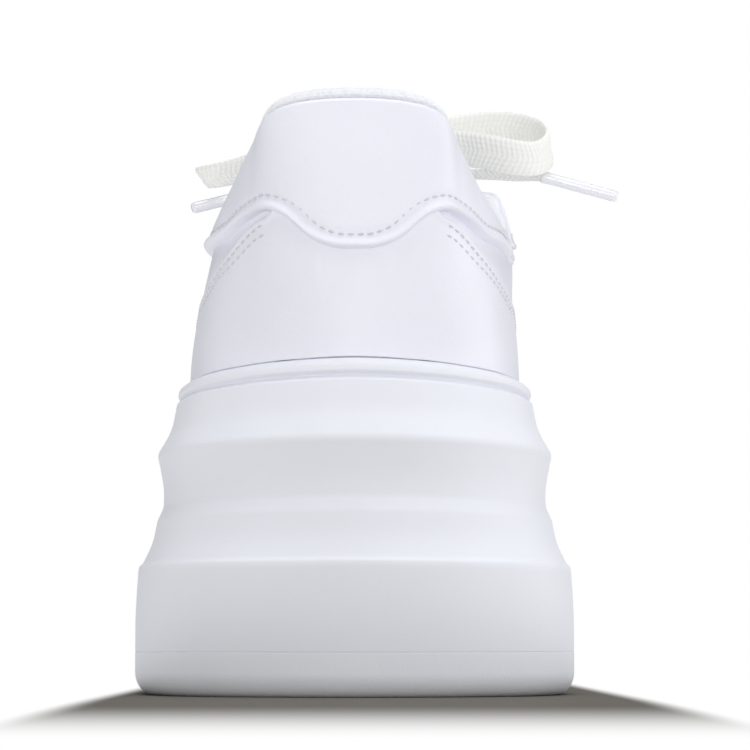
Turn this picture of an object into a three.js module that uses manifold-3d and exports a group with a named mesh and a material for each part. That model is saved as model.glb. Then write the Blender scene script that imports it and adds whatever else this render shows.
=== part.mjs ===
// A left platform sneaker: a white leather low-top on a tall sculpted sole, in millimetres.
// +Y runs from heel to toe, +X points to the inner side of the foot and +Z is up.
// The origin is on the ground, under the middle of the sole's outline.
import * as THREE from "three";
import { mergeVertices } from "three/addons/utils/BufferGeometryUtils.js";
import Module from "manifold-3d";

const wasm = await Module();
wasm.setup();

// Sole
const SOLE_LENGTH = 278;
const HEEL_WIDTH = 91;
const BALL_WIDTH = 103;
const SOLE_HEEL_HEIGHT = 63; // the lip, along the heel and the arch
const SOLE_TOE_HEIGHT = 41; // the lip, from the ball to the toe
const HEEL_KICK = 3.6; // how much the lip climbs behind the heel
const TOE_SPRING = 9;
const OUTSOLE_THICKNESS = 8.7;
const EDGE_ROUND = 4.6; // rounding under the outsole's edge
const EDGE_LEAN = 0.8; // width of that rounding, as a share of its height
const EDGE_STEPS = [0, 0.3, 0.62, 1]; // shares of that rounding's quarter turn
const SOLE_TAPER = 12; // how far the lip lies inside the sole's widest line
const CUP_DEPTH = 7; // the cup's floor under the lip
const LIP_FALL = 0.6; // how much the lip's inner edge lies lower
const TREAD_DEPTH = 2.2;
const TREAD_GROOVE = 4.5;
const TREAD_PITCH = 17;
const TREAD_BORDER = 13;
const TREAD_WAVE = 5;
const TREAD_SPARE = 1; // how far the tread's cutting forms stand out of the sole

// Upper
const UPPER_RISE = 54; // the collar above the sole's lip, behind the heel
const COLLAR_HALF_WIDTH = 29;
const THROAT_HALF_WIDTH = 14;
const INSTEP_SHIFT = 7; // how far the instep leans to the inner side
const WALL = 2;
const COLLAR_WALL = 7;
const COLLAR_ROLL = 2; // how far the padded lining rolls above the outer leather
const EDGE_ROLL = 0.4; // the same, where the wall is thin
const COLLAR_TURNS = [0.3, 0.7]; // where the roll is highest, as shares of the wall
const OVERLAY = 1.2;
const COLLAR_OVERLAY = 1.6;

// Tongue, insole and laces
const TONGUE_WING = 9; // how far the tongue reaches under each eyestay
const TONGUE_THICKNESS = 5;
const TONGUE_CROWN = 4;
const TONGUE_SHOULDER = 0.8; // how much the tongue swells beside its crown
const TONGUE_EDGE = 0.4; // the wings' thickness at their edges, as a share
const TONGUE_FOOT = 0.6; // the tongue's thickness at the throat's foot, as a share
const TONGUE_TIP = [
  { rise: 1, width: 0.72 },
  { rise: 0.8, width: 0.82 },
  { rise: 0.5, width: 0.88 },
];
const TONGUE_RISE = 12; // the tongue's end above the top of the throat
const TONGUE_SLOPE = 38;
const TUCK_SLOPE = 27;
const TONGUE_CLEARANCE = 0.7;
const TONGUE_TUCK = 16; // how far the tongue runs under the vamp
const INSOLE_THICKNESS = 4.5;
const INSOLE_RIM = 6;
const INSOLE_RIM_RISE = 0.8; // the insole's rim above its middle
const EYELET_PAIRS = 6;
const EYELET_RADIUS = 2.2;
const EYELET_SETBACK = 8.5; // from the throat's edge
const EYELET_DEPTH = 12; // of the pins that cut the holes
const EYELET_MARGIN = { top: 0.02, foot: 0.03 }; // from the throat's ends
const LACE_WIDTH = 8;
const LACE_THICKNESS = 1.3;
const BAR_WIDTH = 7; // where the lace is pulled tight over the tongue
const BAR_LIFT = 1.5; // over the throat's edges
const LACE_ARCH = 1.2;
const BAR_BEND = 0.28; // where a crossing leaves the eyestay, as a share of its length
const AGLET_RADIUS = 1.4;
const AGLET_LENGTH = 17;

const GAP = 0.3; // between pieces that meet
const OVERLAY_GAP = 0.35; // between the upper and its overlays
const COLUMN_BUNCHING = 0.25; // how much closer the columns are at the heel and the toe
const COLUMNS = 48; // around the shoe, an even number
const HALF = COLUMNS / 2;
const OUTLINE_STEPS = 480;

// The sole's outline, heel to toe along the outer side and back along the inner side.
// along is a share of the sole's length, and out is a share of the half width there.
const OUTLINE = [
  { along: 0.0, out: 0.0 },
  { along: 0.01, out: -0.33 },
  { along: 0.035, out: -0.62 },
  { along: 0.08, out: -0.86 },
  { along: 0.145, out: -0.98 },
  { along: 0.215, out: -1.0 },
  { along: 0.32, out: -0.975 },
  { along: 0.43, out: -0.925 },
  { along: 0.53, out: -0.92 },
  { along: 0.62, out: -0.95 },
  { along: 0.705, out: -0.945 },
  { along: 0.785, out: -0.88 },
  { along: 0.862, out: -0.755 },
  { along: 0.93, out: -0.54 },
  { along: 0.98, out: -0.24 },
  { along: 1.0, out: 0.11 },
  { along: 0.988, out: 0.42 },
  { along: 0.945, out: 0.7 },
  { along: 0.882, out: 0.895 },
  { along: 0.8, out: 1.01 },
  { along: 0.71, out: 1.045 },
  { along: 0.62, out: 1.0 },
  { along: 0.53, out: 0.93 },
  { along: 0.43, out: 0.89 },
  { along: 0.32, out: 0.93 },
  { along: 0.215, out: 0.985 },
  { along: 0.145, out: 0.98 },
  { along: 0.08, out: 0.86 },
  { along: 0.035, out: 0.62 },
  { along: 0.01, out: 0.33 },
];

// The steps and ribs of the midsole's side, from the outsole up to the lip. heel and toe are
// shares of the lip's height there, and inset is a share of the sole's taper.
const BANDS = [
  { heel: 0.26, toe: 0.3, inset: 0.0 }, // plain lower wall
  { heel: 0.4, toe: 0.43, inset: 0.045 },
  { heel: 0.415, toe: 0.445, inset: 0.065 }, // edge of the ledge
  { heel: 0.424, toe: 0.455, inset: 0.125 },
  { heel: 0.49, toe: 0.52, inset: 0.295 }, // flare above the ledge
  { heel: 0.562, toe: 0.592, inset: 0.37 }, // lower rib
  { heel: 0.605, toe: 0.64, inset: 0.475 },
  { heel: 0.665, toe: 0.69, inset: 0.485 }, // hollow
  { heel: 0.74, toe: 0.757, inset: 0.41 },
  { heel: 0.775, toe: 0.79, inset: 0.365 }, // main ridge
  { heel: 0.852, toe: 0.86, inset: 0.61 },
  { heel: 0.94, toe: 0.935, inset: 0.7 },
  { heel: 0.951, toe: 0.946, inset: 0.77 }, // groove under the lip
  { heel: 0.962, toe: 0.958, inset: 0.715 },
  { heel: 0.985, toe: 0.983, inset: 0.74 }, // lip
  { heel: 1.0, toe: 1.0, inset: 0.9 },
];

// The upper's open edge and how its wall climbs to it, from the middle of the heel to the
// throat's foot; both sides use it. base is the place on the sole's outline, along is a share
// of the sole's length, collar and throat are shares of those half widths, rise is a share of
// the upper's rise above the lip, flare and lean are the wall's angles at the lip and at the
// edge, in degrees, and low and high are how long it keeps them, as shares of its height.
const EDGE = [
  { base: 0.0, along: 0.054, collar: 0.0, throat: 0, rise: 1.004, flare: -6, lean: 4, low: 0.35, high: 0.32 },
  { base: 0.055, along: 0.062, collar: 0.53, throat: 0, rise: 0.97, flare: -5, lean: 7, low: 0.35, high: 0.32 },
  { base: 0.1, along: 0.085, collar: 0.665, throat: 0, rise: 0.87, flare: -3, lean: 11, low: 0.35, high: 0.32 },
  { base: 0.15, along: 0.12, collar: 0.815, throat: 0, rise: 0.74, flare: -2, lean: 12, low: 0.35, high: 0.32 },
  { base: 0.215, along: 0.185, collar: 0.965, throat: 0, rise: 0.665, flare: -1, lean: 9, low: 0.35, high: 0.33 },
  { base: 0.285, along: 0.262, collar: 1.0, throat: 0, rise: 0.67, flare: 0, lean: 10, low: 0.35, high: 0.33 },
  { base: 0.352, along: 0.335, collar: 0.95, throat: 0, rise: 0.77, flare: 2, lean: 17, low: 0.35, high: 0.34 },
  { base: 0.4, along: 0.383, collar: 0.84, throat: 0.02, rise: 0.915, flare: 4, lean: 30, low: 0.35, high: 0.35 },
  { base: 0.435, along: 0.405, collar: 0.39, throat: 0.47, rise: 0.945, flare: 6, lean: 40, low: 0.35, high: 0.36 },
  { base: 0.49, along: 0.46, collar: 0.0, throat: 1.0, rise: 0.93, flare: 7, lean: 48, low: 0.35, high: 0.36 },
  { base: 0.575, along: 0.545, collar: 0.0, throat: 0.94, rise: 0.86, flare: 7, lean: 54, low: 0.34, high: 0.38 },
  { base: 0.67, along: 0.63, collar: 0.0, throat: 0.86, rise: 0.835, flare: 6, lean: 60, low: 0.32, high: 0.42 },
  { base: 0.8, along: 0.685, collar: 0.0, throat: 0.55, rise: 0.79, flare: 3, lean: 67, low: 0.27, high: 0.47 },
  { base: 1.0, along: 0.7, collar: 0.0, throat: 0.0, rise: 0.755, flare: 0, lean: 70, low: 0.22, high: 0.5 },
];
const TONGUE_TOP = 0.44; // where the tongue leaves the throat
const THROAT_TOP = 0.425; // places on the outline where the throat's straight edges start and end
const THROAT_FOOT = 0.7;

// Lower edge of the collar's wavy overlay, as the height share of the upper's wall there.
const WAVE = [
  { base: 0.0, at: 0.398 },
  { base: 0.018, at: 0.406 },
  { base: 0.034, at: 0.45 },
  { base: 0.05, at: 0.541 },
  { base: 0.068, at: 0.597 },
  { base: 0.09, at: 0.626 },
  { base: 0.12, at: 0.654 },
  { base: 0.15, at: 0.686 },
  { base: 0.19, at: 0.75 },
  { base: 0.26, at: 0.79 },
  { base: 0.33, at: 0.79 },
  { base: 0.368, at: 0.775 },
  { base: 1.0, at: 0.775 },
];
const COLLAR_OVERLAY_END = 0.385;

// Upper edge of the heel counter's overlay, in front of the wave.
const COUNTER = [
  { base: 0.0, at: 0.42 },
  { base: 0.03, at: 0.45 },
  { base: 0.06, at: 0.565 },
  { base: 0.075, at: 0.583 },
  { base: 0.09, at: 0.59 },
  { base: 0.105, at: 0.583 },
  { base: 0.12, at: 0.565 },
  { base: 0.15, at: 0.545 },
  { base: 0.19, at: 0.49 },
  { base: 0.26, at: 0.4 },
  { base: 0.32, at: 0.3 },
  { base: 0.365, at: 0.17 },
  { base: 0.385, at: 0.06 },
  { base: 1.0, at: 0.06 },
];
const COUNTER_END = 0.385;

// Upper edge of the guard round the toe.
const GUARD = [
  { base: 0.0, at: 0.3 },
  { base: 0.655, at: 0.05 },
  { base: 0.675, at: 0.24 },
  { base: 0.72, at: 0.33 },
  { base: 0.8, at: 0.31 },
  { base: 0.9, at: 0.28 },
  { base: 1.0, at: 0.27 },
];
const GUARD_START = 0.655;
const EYESTAY_WIDTH = 17;
const EDGE_MARGIN = 1.2; // from the open edge to the overlays under it
const OVERLAY_FOOT = 0.015; // the overlays' lower edges, as a height share
const PANEL_REACH = 8; // how far a panel's form stands out of the upper

// The bow's routes, from the knot: right, ahead and up in millimetres, and roll, the turn of
// the flat lace about its own line in degrees, where 0 stands it on edge.
const KNOT = { ahead: 114, up: 123, width: 11, depth: 9, height: 8 };
const INNER_LOOP = [
  [6.2, 0.0, 0.4, 6], [12, -1.4, 0.4, 6], [18, -3.6, -0.2, 8], [24, -6.8, -1.4, 10],
  [30, -8.0, -2.8, 8], [35.4, -6.0, -2.6, 2], [38.2, -1.2, 0.2, -8], [36.6, 4.2, 3.8, -14],
  [31.4, 7.8, 6.0, -14], [25, 8.8, 6.4, -12], [18, 7.4, 5.4, -8], [11.5, 5.4, 4.0, -4],
  [6.6, 4.0, 2.8, 0],
];
const OUTER_LOOP = [
  [-6.2, 0.0, 0.8, -8], [-12, -1.2, 0.6, -14], [-18, -3.0, -0.6, -26], [-25, -4.8, -3.0, -40],
  [-32, -4.8, -5.2, -48], [-38.0, -3.0, -6.3, -42], [-41.0, 1.0, -6.2, -36], [-38.6, 5.8, -4.8, -36],
  [-32, 9.4, -3.0, -38], [-25, 10.2, -0.2, -28], [-18, 8.8, 1.8, -14], [-11.5, 6.6, 2.8, -4],
  [-6.6, 4.6, 2.8, 0],
];
const INNER_END = [
  [6.6, 2.4, -5.1, 86], [13, 2.6, -5.1, 86], [20, 2.4, -5.1, 84], [26, 2.0, -5.2, 82],
  [31.5, 1.6, -5.5, 80], [36.4, 1.0, -5.8, 78],
];
const OUTER_END = [
  [-6.6, 3.8, -4.6, -88], [-11.5, 7.6, -4.6, -88], [-16, 10.0, -5.0, -86], [-20, 10.2, -5.8, -84],
  [-23.0, 8.9, -7.1, -82], [-26.2, 8.0, -8.1, -80],
];
const INNER_AGLET_SLOPE = { ahead: -0.05, up: -0.28 };
const OUTER_AGLET_SLOPE = { ahead: -0.12, up: -0.26 };

const degrees = Math.PI / 180;
const lerp = (a, b, share) => a + (b - a) * share;
const vector = (x, y, z) => new THREE.Vector3(x, y, z);
const UP = vector(0, 0, 1);

function smoothstep(low, high, at) {
  const share = Math.min(1, Math.max(0, (at - low) / (high - low)));
  return share * share * (3 - 2 * share);
}

// The smooth value of a table's column at a place. A table that runs from the heel to the toe
// mirrors at both ends, where the shoe's two sides meet: there an odd column changes its sign.
function columnAt(rows, column, place, odd = false) {
  const last = rows.length - 1;
  const sign = odd ? -1 : 1;
  const knot = (i) => {
    if (i < 0) return [2 * rows[0].base - rows[-i].base, sign * rows[-i][column]];
    if (i > last) return [2 * rows[last].base - rows[2 * last - i].base, sign * rows[2 * last - i][column]];
    return [rows[i].base, rows[i][column]];
  };
  let i = 0;
  while (i < last - 1 && rows[i + 1].base <= place) i += 1;
  const [x0, y0] = knot(i - 1);
  const [x1, y1] = knot(i);
  const [x2, y2] = knot(i + 1);
  const [x3, y3] = knot(i + 2);
  const [before, here, after] = [(y1 - y0) / (x1 - x0), (y2 - y1) / (x2 - x1), (y3 - y2) / (x3 - x2)];
  const start = (before * (x2 - x1) + here * (x1 - x0)) / (x2 - x0);
  const end = (here * (x3 - x2) + after * (x2 - x1)) / (x3 - x1);
  const t = Math.min(1, Math.max(0, (place - x1) / (x2 - x1)));
  const span = x2 - x1;
  return (
    y1 * (1 + 2 * t) * (1 - t) ** 2 +
    start * span * t * (1 - t) ** 2 +
    y2 * t * t * (3 - 2 * t) -
    end * span * t * t * (1 - t)
  );
}

// The widest line of the sole, as points about OUTLINE_STEPS apart, heel first, then the outer
// side, and the share of each half's length at every point.
function traceOutline() {
  const points = OUTLINE.map(({ along, out }) => {
    const half = lerp(HEEL_WIDTH, BALL_WIDTH, smoothstep(0.25, 0.6, along)) / 2;
    return vector(out * half, along * SOLE_LENGTH, 0);
  });
  const at = (i) => points[(i + points.length) % points.length];
  const traced = [];
  for (let step = 0; step < OUTLINE_STEPS; step++) {
    const place = (step / OUTLINE_STEPS) * points.length;
    const i = Math.floor(place);
    const t = place - i;
    const weights = [
      (-t + 2 * t * t - t ** 3) / 2,
      (2 - 5 * t * t + 3 * t ** 3) / 2,
      (t + 4 * t * t - 3 * t ** 3) / 2,
      (t ** 3 - t * t) / 2,
    ];
    const point = vector(0, 0, 0);
    weights.forEach((weight, k) => point.addScaledVector(at(i - 1 + k), weight));
    traced.push(point);
  }
  const box = new THREE.Box3().setFromPoints(traced);
  const middle = box.getCenter(vector(0, 0, 0));
  traced.forEach((point) => point.sub(middle));
  return { traced, middle };
}

const { traced: OUTLINE_POINTS, middle: OUTLINE_MIDDLE } = traceOutline();
const TOE_STEP = Math.round((OUTLINE.findIndex((row) => row.along === 1) / OUTLINE.length) * OUTLINE_STEPS);

function halfLengths(from, to) {
  const lengths = [0];
  for (let i = from; i < to; i++) {
    const next = OUTLINE_POINTS[(i + 1) % OUTLINE_STEPS];
    lengths.push(lengths[lengths.length - 1] + OUTLINE_POINTS[i].distanceTo(next));
  }
  return lengths;
}
const OUTER_LENGTHS = halfLengths(0, TOE_STEP);
const INNER_LENGTHS = halfLengths(TOE_STEP, OUTLINE_STEPS);

// A place on the outline: base is 0 at the heel and 1 at the toe, and side is -1 on the outer
// side and 1 on the inner one. Gives the point and the level direction out of the shoe.
function outlineAt(side, base) {
  const lengths = side < 0 ? OUTER_LENGTHS : INNER_LENGTHS;
  const share = side < 0 ? base : 1 - base;
  const wanted = share * lengths[lengths.length - 1];
  let i = 0;
  while (i < lengths.length - 2 && lengths[i + 1] < wanted) i += 1;
  const t = (wanted - lengths[i]) / (lengths[i + 1] - lengths[i]);
  const first = (side < 0 ? 0 : TOE_STEP) + i;
  const at = (k) => OUTLINE_POINTS[(first + k + OUTLINE_STEPS) % OUTLINE_STEPS];
  const point = at(0).clone().lerp(at(1), t);
  const tangent = at(1).clone().sub(at(-1)).lerp(at(2).clone().sub(at(0)), t).normalize();
  return { point, out: vector(-tangent.y, tangent.x, 0) };
}

const alongOf = (point) => (point.y + OUTLINE_MIDDLE.y) / SOLE_LENGTH;
const toeSpring = (along) => TOE_SPRING * Math.max(0, (along - 0.7) / 0.3) ** 2;
const dropAt = (along) => smoothstep(0.36, 0.7, along);
const kickAt = (along) => HEEL_KICK * Math.exp(-along / 0.1);

// Height of a line on the sole's side, given as its shares of the lip's height.
function sideHeight(along, heel, toe) {
  const high = heel * SOLE_HEEL_HEIGHT + heel ** 2.5 * kickAt(along);
  const low = toe * SOLE_TOE_HEIGHT;
  return lerp(high, low, dropAt(along)) + toeSpring(along);
}
const lipHeight = (along) => sideHeight(along, 1, 1);
const floorHeight = (along) =>
  lerp(SOLE_HEEL_HEIGHT, SOLE_TOE_HEIGHT, dropAt(along)) + toeSpring(along) - CUP_DEPTH;

// Point on the upper's outside. height is 0 at the sole's lip and 1 at the open edge.
function upperPoint(side, base, height) {
  const value = (column, odd) => columnAt(EDGE, column, base, odd);
  const { point, out } = outlineAt(side, base);
  const foot = point.clone().addScaledVector(out, -SOLE_TAPER - GAP);
  foot.z = lipHeight(alongOf(point));
  const along = value("along");
  const half = COLLAR_HALF_WIDTH * value("collar", true) + THROAT_HALF_WIDTH * value("throat", true);
  const shift = INSTEP_SHIFT * smoothstep(0.1, 0.5, along);
  const edge = vector(
    shift + side * half - OUTLINE_MIDDLE.x,
    along * SOLE_LENGTH - OUTLINE_MIDDLE.y,
    lipHeight(along) + UPPER_RISE * value("rise"),
  );
  const climb = edge.distanceTo(foot);
  const [flare, lean] = [value("flare") * degrees, value("lean") * degrees];
  const low = foot
    .clone()
    .addScaledVector(UP, climb * value("low") * Math.cos(flare))
    .addScaledVector(out, climb * value("low") * Math.sin(flare));
  const high = edge
    .clone()
    .addScaledVector(UP, -climb * value("high") * Math.cos(lean))
    .addScaledVector(out, climb * value("high") * Math.sin(lean));
  const rest = 1 - height;
  return vector(0, 0, 0)
    .addScaledVector(foot, rest ** 3)
    .addScaledVector(low, 3 * rest * rest * height)
    .addScaledVector(high, 3 * rest * height * height)
    .addScaledVector(edge, height ** 3);
}

// The direction out of the upper's wall.
function upperNormal(side, base, height) {
  const step = 0.004;
  const [behind, ahead] = [Math.max(0, base - step), Math.min(1, base + step)];
  const along = upperPoint(side, ahead, height).sub(upperPoint(side, behind, height));
  if (base < step || base > 1 - step) along.set(base < step ? side : -side, 0, 0);
  const [under, over] = [Math.max(0, height - 0.02), Math.min(1, height + 0.02)];
  const climb = upperPoint(side, base, over).sub(upperPoint(side, base, under));
  const normal = climb.cross(along).normalize();
  return side < 0 ? normal : normal.negate();
}

function upperOffset(side, base, height, distance) {
  return upperPoint(side, base, height).addScaledVector(upperNormal(side, base, height), distance);
}

// The height share that lies a distance under the upper's open edge, along its wall.
function heightBelow(side, base, distance) {
  const near = 0.15;
  const stretch = upperPoint(side, base, 1 - near).distanceTo(upperPoint(side, base, 1));
  return 1 - (near * distance) / stretch;
}

// Thickness of the upper's wall: padded towards the collar, and thin along the throat.
function wallAt(base, height) {
  const padded = (1 - smoothstep(0.33, 0.43, base)) * smoothstep(0.25, 0.85, height);
  return lerp(WALL, COLLAR_WALL, padded);
}

const UPPER_HEIGHTS = [0, 0.17, 0.36, 0.55, 0.72, 0.87, 1];

// Columns run from the heel along the outer side to the toe and back along the inner side.
function columnPlace(column) {
  const share = Math.min(column, COLUMNS - column) / HALF;
  const bunched = (COLUMN_BUNCHING * Math.sin(2 * Math.PI * share)) / (2 * Math.PI);
  return { side: column <= HALF ? -1 : 1, base: share - bunched };
}

const columnPlaces = () => Array.from({ length: COLUMNS }, (_, column) => columnPlace(column));

// Splits a quad over its shorter diagonal, so that layers of one form are faceted alike.
function splitQuad(points, faces, [a, b, c, d]) {
  if (points[a].distanceTo(points[c]) < points[b].distanceTo(points[d])) faces.push(a, b, c, a, c, d);
  else faces.push(a, b, d, b, c, d);
}

// A mesh of rings, each a list of as many points. The first and last rings are capped by
// rungs from side to side, or join each other where the rings close on themselves.
function ringGeometry(rings, closed = false) {
  const count = rings[0].length;
  const points = rings.flat();
  const faces = [];
  const quad = (...corners) => splitQuad(points, faces, corners);
  const last = closed ? rings.length : rings.length - 1;
  for (let r = 0; r < last; r++) {
    const [low, high] = [r * count, ((r + 1) % rings.length) * count];
    for (let i = 0; i < count; i++) {
      const next = (i + 1) % count;
      quad(low + i, low + next, high + next, high + i);
    }
  }
  if (!closed) {
    const top = (rings.length - 1) * count;
    for (let i = 0; i < count / 2; i++) {
      const [left, right] = [[i, i + 1], [(count - i) % count, count - i - 1]];
      if (left[0] !== right[0]) {
        faces.push(left[0], right[0], left[1]);
        faces.push(top + left[0], top + left[1], top + right[0]);
      }
      if (left[1] !== right[1]) {
        faces.push(right[0], right[1], left[1]);
        faces.push(top + right[0], top + left[1], top + right[1]);
      }
    }
  }
  return facingOut(points, faces);
}

// A solid between two grids of points, such as a panel's outside and inside.
function panelGeometry(outside, inside) {
  const [rows, count] = [outside.length, outside[0].length];
  const points = [...outside.flat(), ...inside.flat()];
  const faces = [];
  const back = rows * count;
  const at = (r, i) => r * count + i;
  const quad = (...corners) => splitQuad(points, faces, corners);
  for (let r = 0; r < rows - 1; r++) {
    for (let i = 0; i < count - 1; i++) {
      quad(at(r, i), at(r, i + 1), at(r + 1, i + 1), at(r + 1, i));
      quad(back + at(r, i), back + at(r + 1, i), back + at(r + 1, i + 1), back + at(r, i + 1));
    }
    for (const [edge, flip] of [[0, true], [count - 1, false]]) {
      const wall = [at(r, edge), at(r + 1, edge), back + at(r + 1, edge), back + at(r, edge)];
      quad(...(flip ? wall : wall.reverse()));
    }
  }
  for (let i = 0; i < count - 1; i++) {
    for (const [edge, flip] of [[0, false], [rows - 1, true]]) {
      const wall = [at(edge, i), at(edge, i + 1), back + at(edge, i + 1), back + at(edge, i)];
      quad(...(flip ? wall : wall.reverse()));
    }
  }
  return facingOut(points, faces);
}

// Makes an indexed geometry whose faces point out of the solid.
function facingOut(points, faces) {
  const geometry = new THREE.BufferGeometry().setFromPoints(points);
  geometry.setIndex(faces);
  const [a, b, c] = [vector(0, 0, 0), vector(0, 0, 0), vector(0, 0, 0)];
  const corner = geometry.getAttribute("position");
  let volume = 0;
  for (let i = 0; i < faces.length; i += 3) {
    a.fromBufferAttribute(corner, faces[i]);
    b.fromBufferAttribute(corner, faces[i + 1]);
    c.fromBufferAttribute(corner, faces[i + 2]);
    volume += a.dot(b.cross(c));
  }
  if (volume < 0) geometry.setIndex(faces.reverse());
  return mergeVertices(geometry, 1e-4);
}

function toSolid(geometry) {
  const bare = mergeVertices(
    new THREE.BufferGeometry()
      .setAttribute("position", geometry.getAttribute("position"))
      .setIndex(geometry.getIndex()),
    1e-4,
  );
  return new wasm.Manifold(
    new wasm.Mesh({
      numProp: 3,
      vertProperties: new Float32Array(bare.getAttribute("position").array),
      triVerts: new Uint32Array(bare.getIndex().array),
    }),
  );
}

function fromSolid(solid) {
  const mesh = solid.getMesh();
  const positions = [];
  for (let i = 0; i < mesh.numVert; i++) {
    positions.push(...mesh.vertProperties.subarray(i * mesh.numProp, i * mesh.numProp + 3));
  }
  const geometry = new THREE.BufferGeometry();
  geometry.setAttribute("position", new THREE.Float32BufferAttribute(positions, 3));
  geometry.setIndex(Array.from(mesh.triVerts));
  return geometry;
}

// A ring round the sole: inset from its widest line, at a height that may vary along the shoe.
function soleRing(inset, heightAt) {
  return columnPlaces().map(({ side, base }) => {
    const { point, out } = outlineAt(side, base);
    const placed = point.clone().addScaledVector(out, -inset);
    placed.z = heightAt(alongOf(point));
    return placed;
  });
}

// The outsole: a rubber slab with a rounded edge and wavy grooves across its underside.
function outsoleGeometry() {
  const rings = EDGE_STEPS.map((share) => {
    const angle = (share * Math.PI) / 2;
    return soleRing(
      EDGE_ROUND * EDGE_LEAN * (1 - Math.sin(angle)),
      (along) => toeSpring(along) + EDGE_ROUND * (1 - Math.cos(angle)),
    );
  });
  rings.push(soleRing(0, (along) => toeSpring(along) + OUTSOLE_THICKNESS));
  const slab = toSolid(ringGeometry(rings));
  const inner = ringGeometry([
    soleRing(TREAD_BORDER, () => -TREAD_SPARE),
    soleRing(TREAD_BORDER, (along) => toeSpring(along) + TREAD_DEPTH),
  ]);
  const grooves = [];
  const reach = SOLE_LENGTH / 2 - TREAD_BORDER;
  for (let y = -reach + TREAD_PITCH; y < reach - TREAD_PITCH / 2; y += TREAD_PITCH) {
    grooves.push(toSolid(grooveGeometry(y)));
  }
  const cut = grooves.reduce((all, groove) => all.add(groove)).intersect(toSolid(inner));
  return fromSolid(slab.subtract(cut));
}

function grooveGeometry(y) {
  const steps = 6;
  const shape = new THREE.Shape();
  const wave = (k) => (k % 2 === 0 ? TREAD_WAVE : -TREAD_WAVE) / 2;
  const across = (k) => ((k - steps / 2) / steps) * (BALL_WIDTH + TREAD_PITCH);
  for (let k = 0; k <= steps; k++) {
    const spot = [across(k), y + wave(k) - TREAD_GROOVE / 2];
    if (k === 0) shape.moveTo(...spot);
    else shape.lineTo(...spot);
  }
  for (let k = steps; k >= 0; k--) shape.lineTo(across(k), y + wave(k) + TREAD_GROOVE / 2);
  shape.closePath();
  const height = TREAD_DEPTH + TOE_SPRING + 2 * TREAD_SPARE;
  const form = new THREE.ExtrudeGeometry(shape, { depth: height, bevelEnabled: false });
  return form.translate(0, 0, -TREAD_SPARE);
}

// The midsole: a tall foam wall with steps and ribs, and a cup that the upper stands in.
function midsoleGeometry() {
  const foot = (along) => toeSpring(along) + OUTSOLE_THICKNESS + GAP;
  const rings = [soleRing(0, foot)];
  for (const { heel, toe, inset } of BANDS) {
    rings.push(soleRing(inset * SOLE_TAPER, (along) => sideHeight(along, heel, toe)));
  }
  rings.push(soleRing(SOLE_TAPER, (along) => lipHeight(along) - LIP_FALL));
  rings.push(soleRing(SOLE_TAPER, floorHeight));
  return ringGeometry(rings);
}

// The insole fills the upper's foot, with its heel and its edges a little raised.
function insoleGeometry() {
  const inset = SOLE_TAPER + GAP + WALL + GAP;
  const under = (along) => floorHeight(along) + GAP;
  const over = (along) => floorHeight(along) + GAP + INSOLE_THICKNESS;
  return ringGeometry([
    soleRing(inset, under),
    soleRing(inset, over),
    soleRing(inset + INSOLE_RIM, (along) => over(along) - INSOLE_RIM_RISE),
  ]);
}

// The upper: one hollow wall from the cup's floor to the collar and the throat.
function upperGeometry() {
  const inside = [1, 0.87, 0.68, 0.45, 0.2, 0];
  const rings = [];
  const ring = (make) => rings.push(columnPlaces().map(({ side, base }) => make(side, base)));
  const skirt = (distance) => (side, base) => {
    const { point, out } = outlineAt(side, base);
    const placed = point.clone().addScaledVector(out, -SOLE_TAPER - GAP - distance);
    placed.z = floorHeight(alongOf(point)) + GAP;
    return placed;
  };
  ring(skirt(0));
  for (const height of UPPER_HEIGHTS) ring((side, base) => upperPoint(side, base, height));
  for (const turn of COLLAR_TURNS) {
    ring((side, base) => {
      const padding = (wallAt(base, 1) - WALL) / (COLLAR_WALL - WALL);
      const point = upperOffset(side, base, 1, -wallAt(base, 1) * turn);
      point.z += lerp(EDGE_ROLL, COLLAR_ROLL, padding);
      return point;
    });
  }
  for (const height of inside) {
    ring((side, base) => upperOffset(side, base, height, -wallAt(base, height)));
  }
  ring(skirt(WALL));
  let solid = toSolid(ringGeometry(rings, true));
  for (const hole of eyeletHoles()) solid = solid.subtract(hole);
  return fromSolid(solid);
}

// Where a pair of eyelets sits: the point on the upper's wall, its outward direction, and the
// height share there.
function eyeletAt(side, pair) {
  const [first, last] = [THROAT_TOP + EYELET_MARGIN.top, THROAT_FOOT - EYELET_MARGIN.foot];
  const base = lerp(first, last, pair / (EYELET_PAIRS - 1));
  const height = heightBelow(side, base, EYELET_SETBACK);
  return {
    base,
    height,
    point: upperPoint(side, base, height),
    normal: upperNormal(side, base, height),
  };
}

function eyeletHoles() {
  const holes = [];
  for (const side of [-1, 1]) {
    for (let pair = 0; pair < EYELET_PAIRS; pair++) {
      const { point, normal } = eyeletAt(side, pair);
      const pin = new THREE.CylinderGeometry(EYELET_RADIUS, EYELET_RADIUS, EYELET_DEPTH, 6);
      pin.applyQuaternion(new THREE.Quaternion().setFromUnitVectors(vector(0, 1, 0), normal));
      pin.translate(point.x, point.y, point.z);
      pin.deleteAttribute("normal");
      pin.deleteAttribute("uv");
      holes.push(toSolid(mergeVertices(pin, 1e-4)));
    }
  }
  return holes;
}

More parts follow.
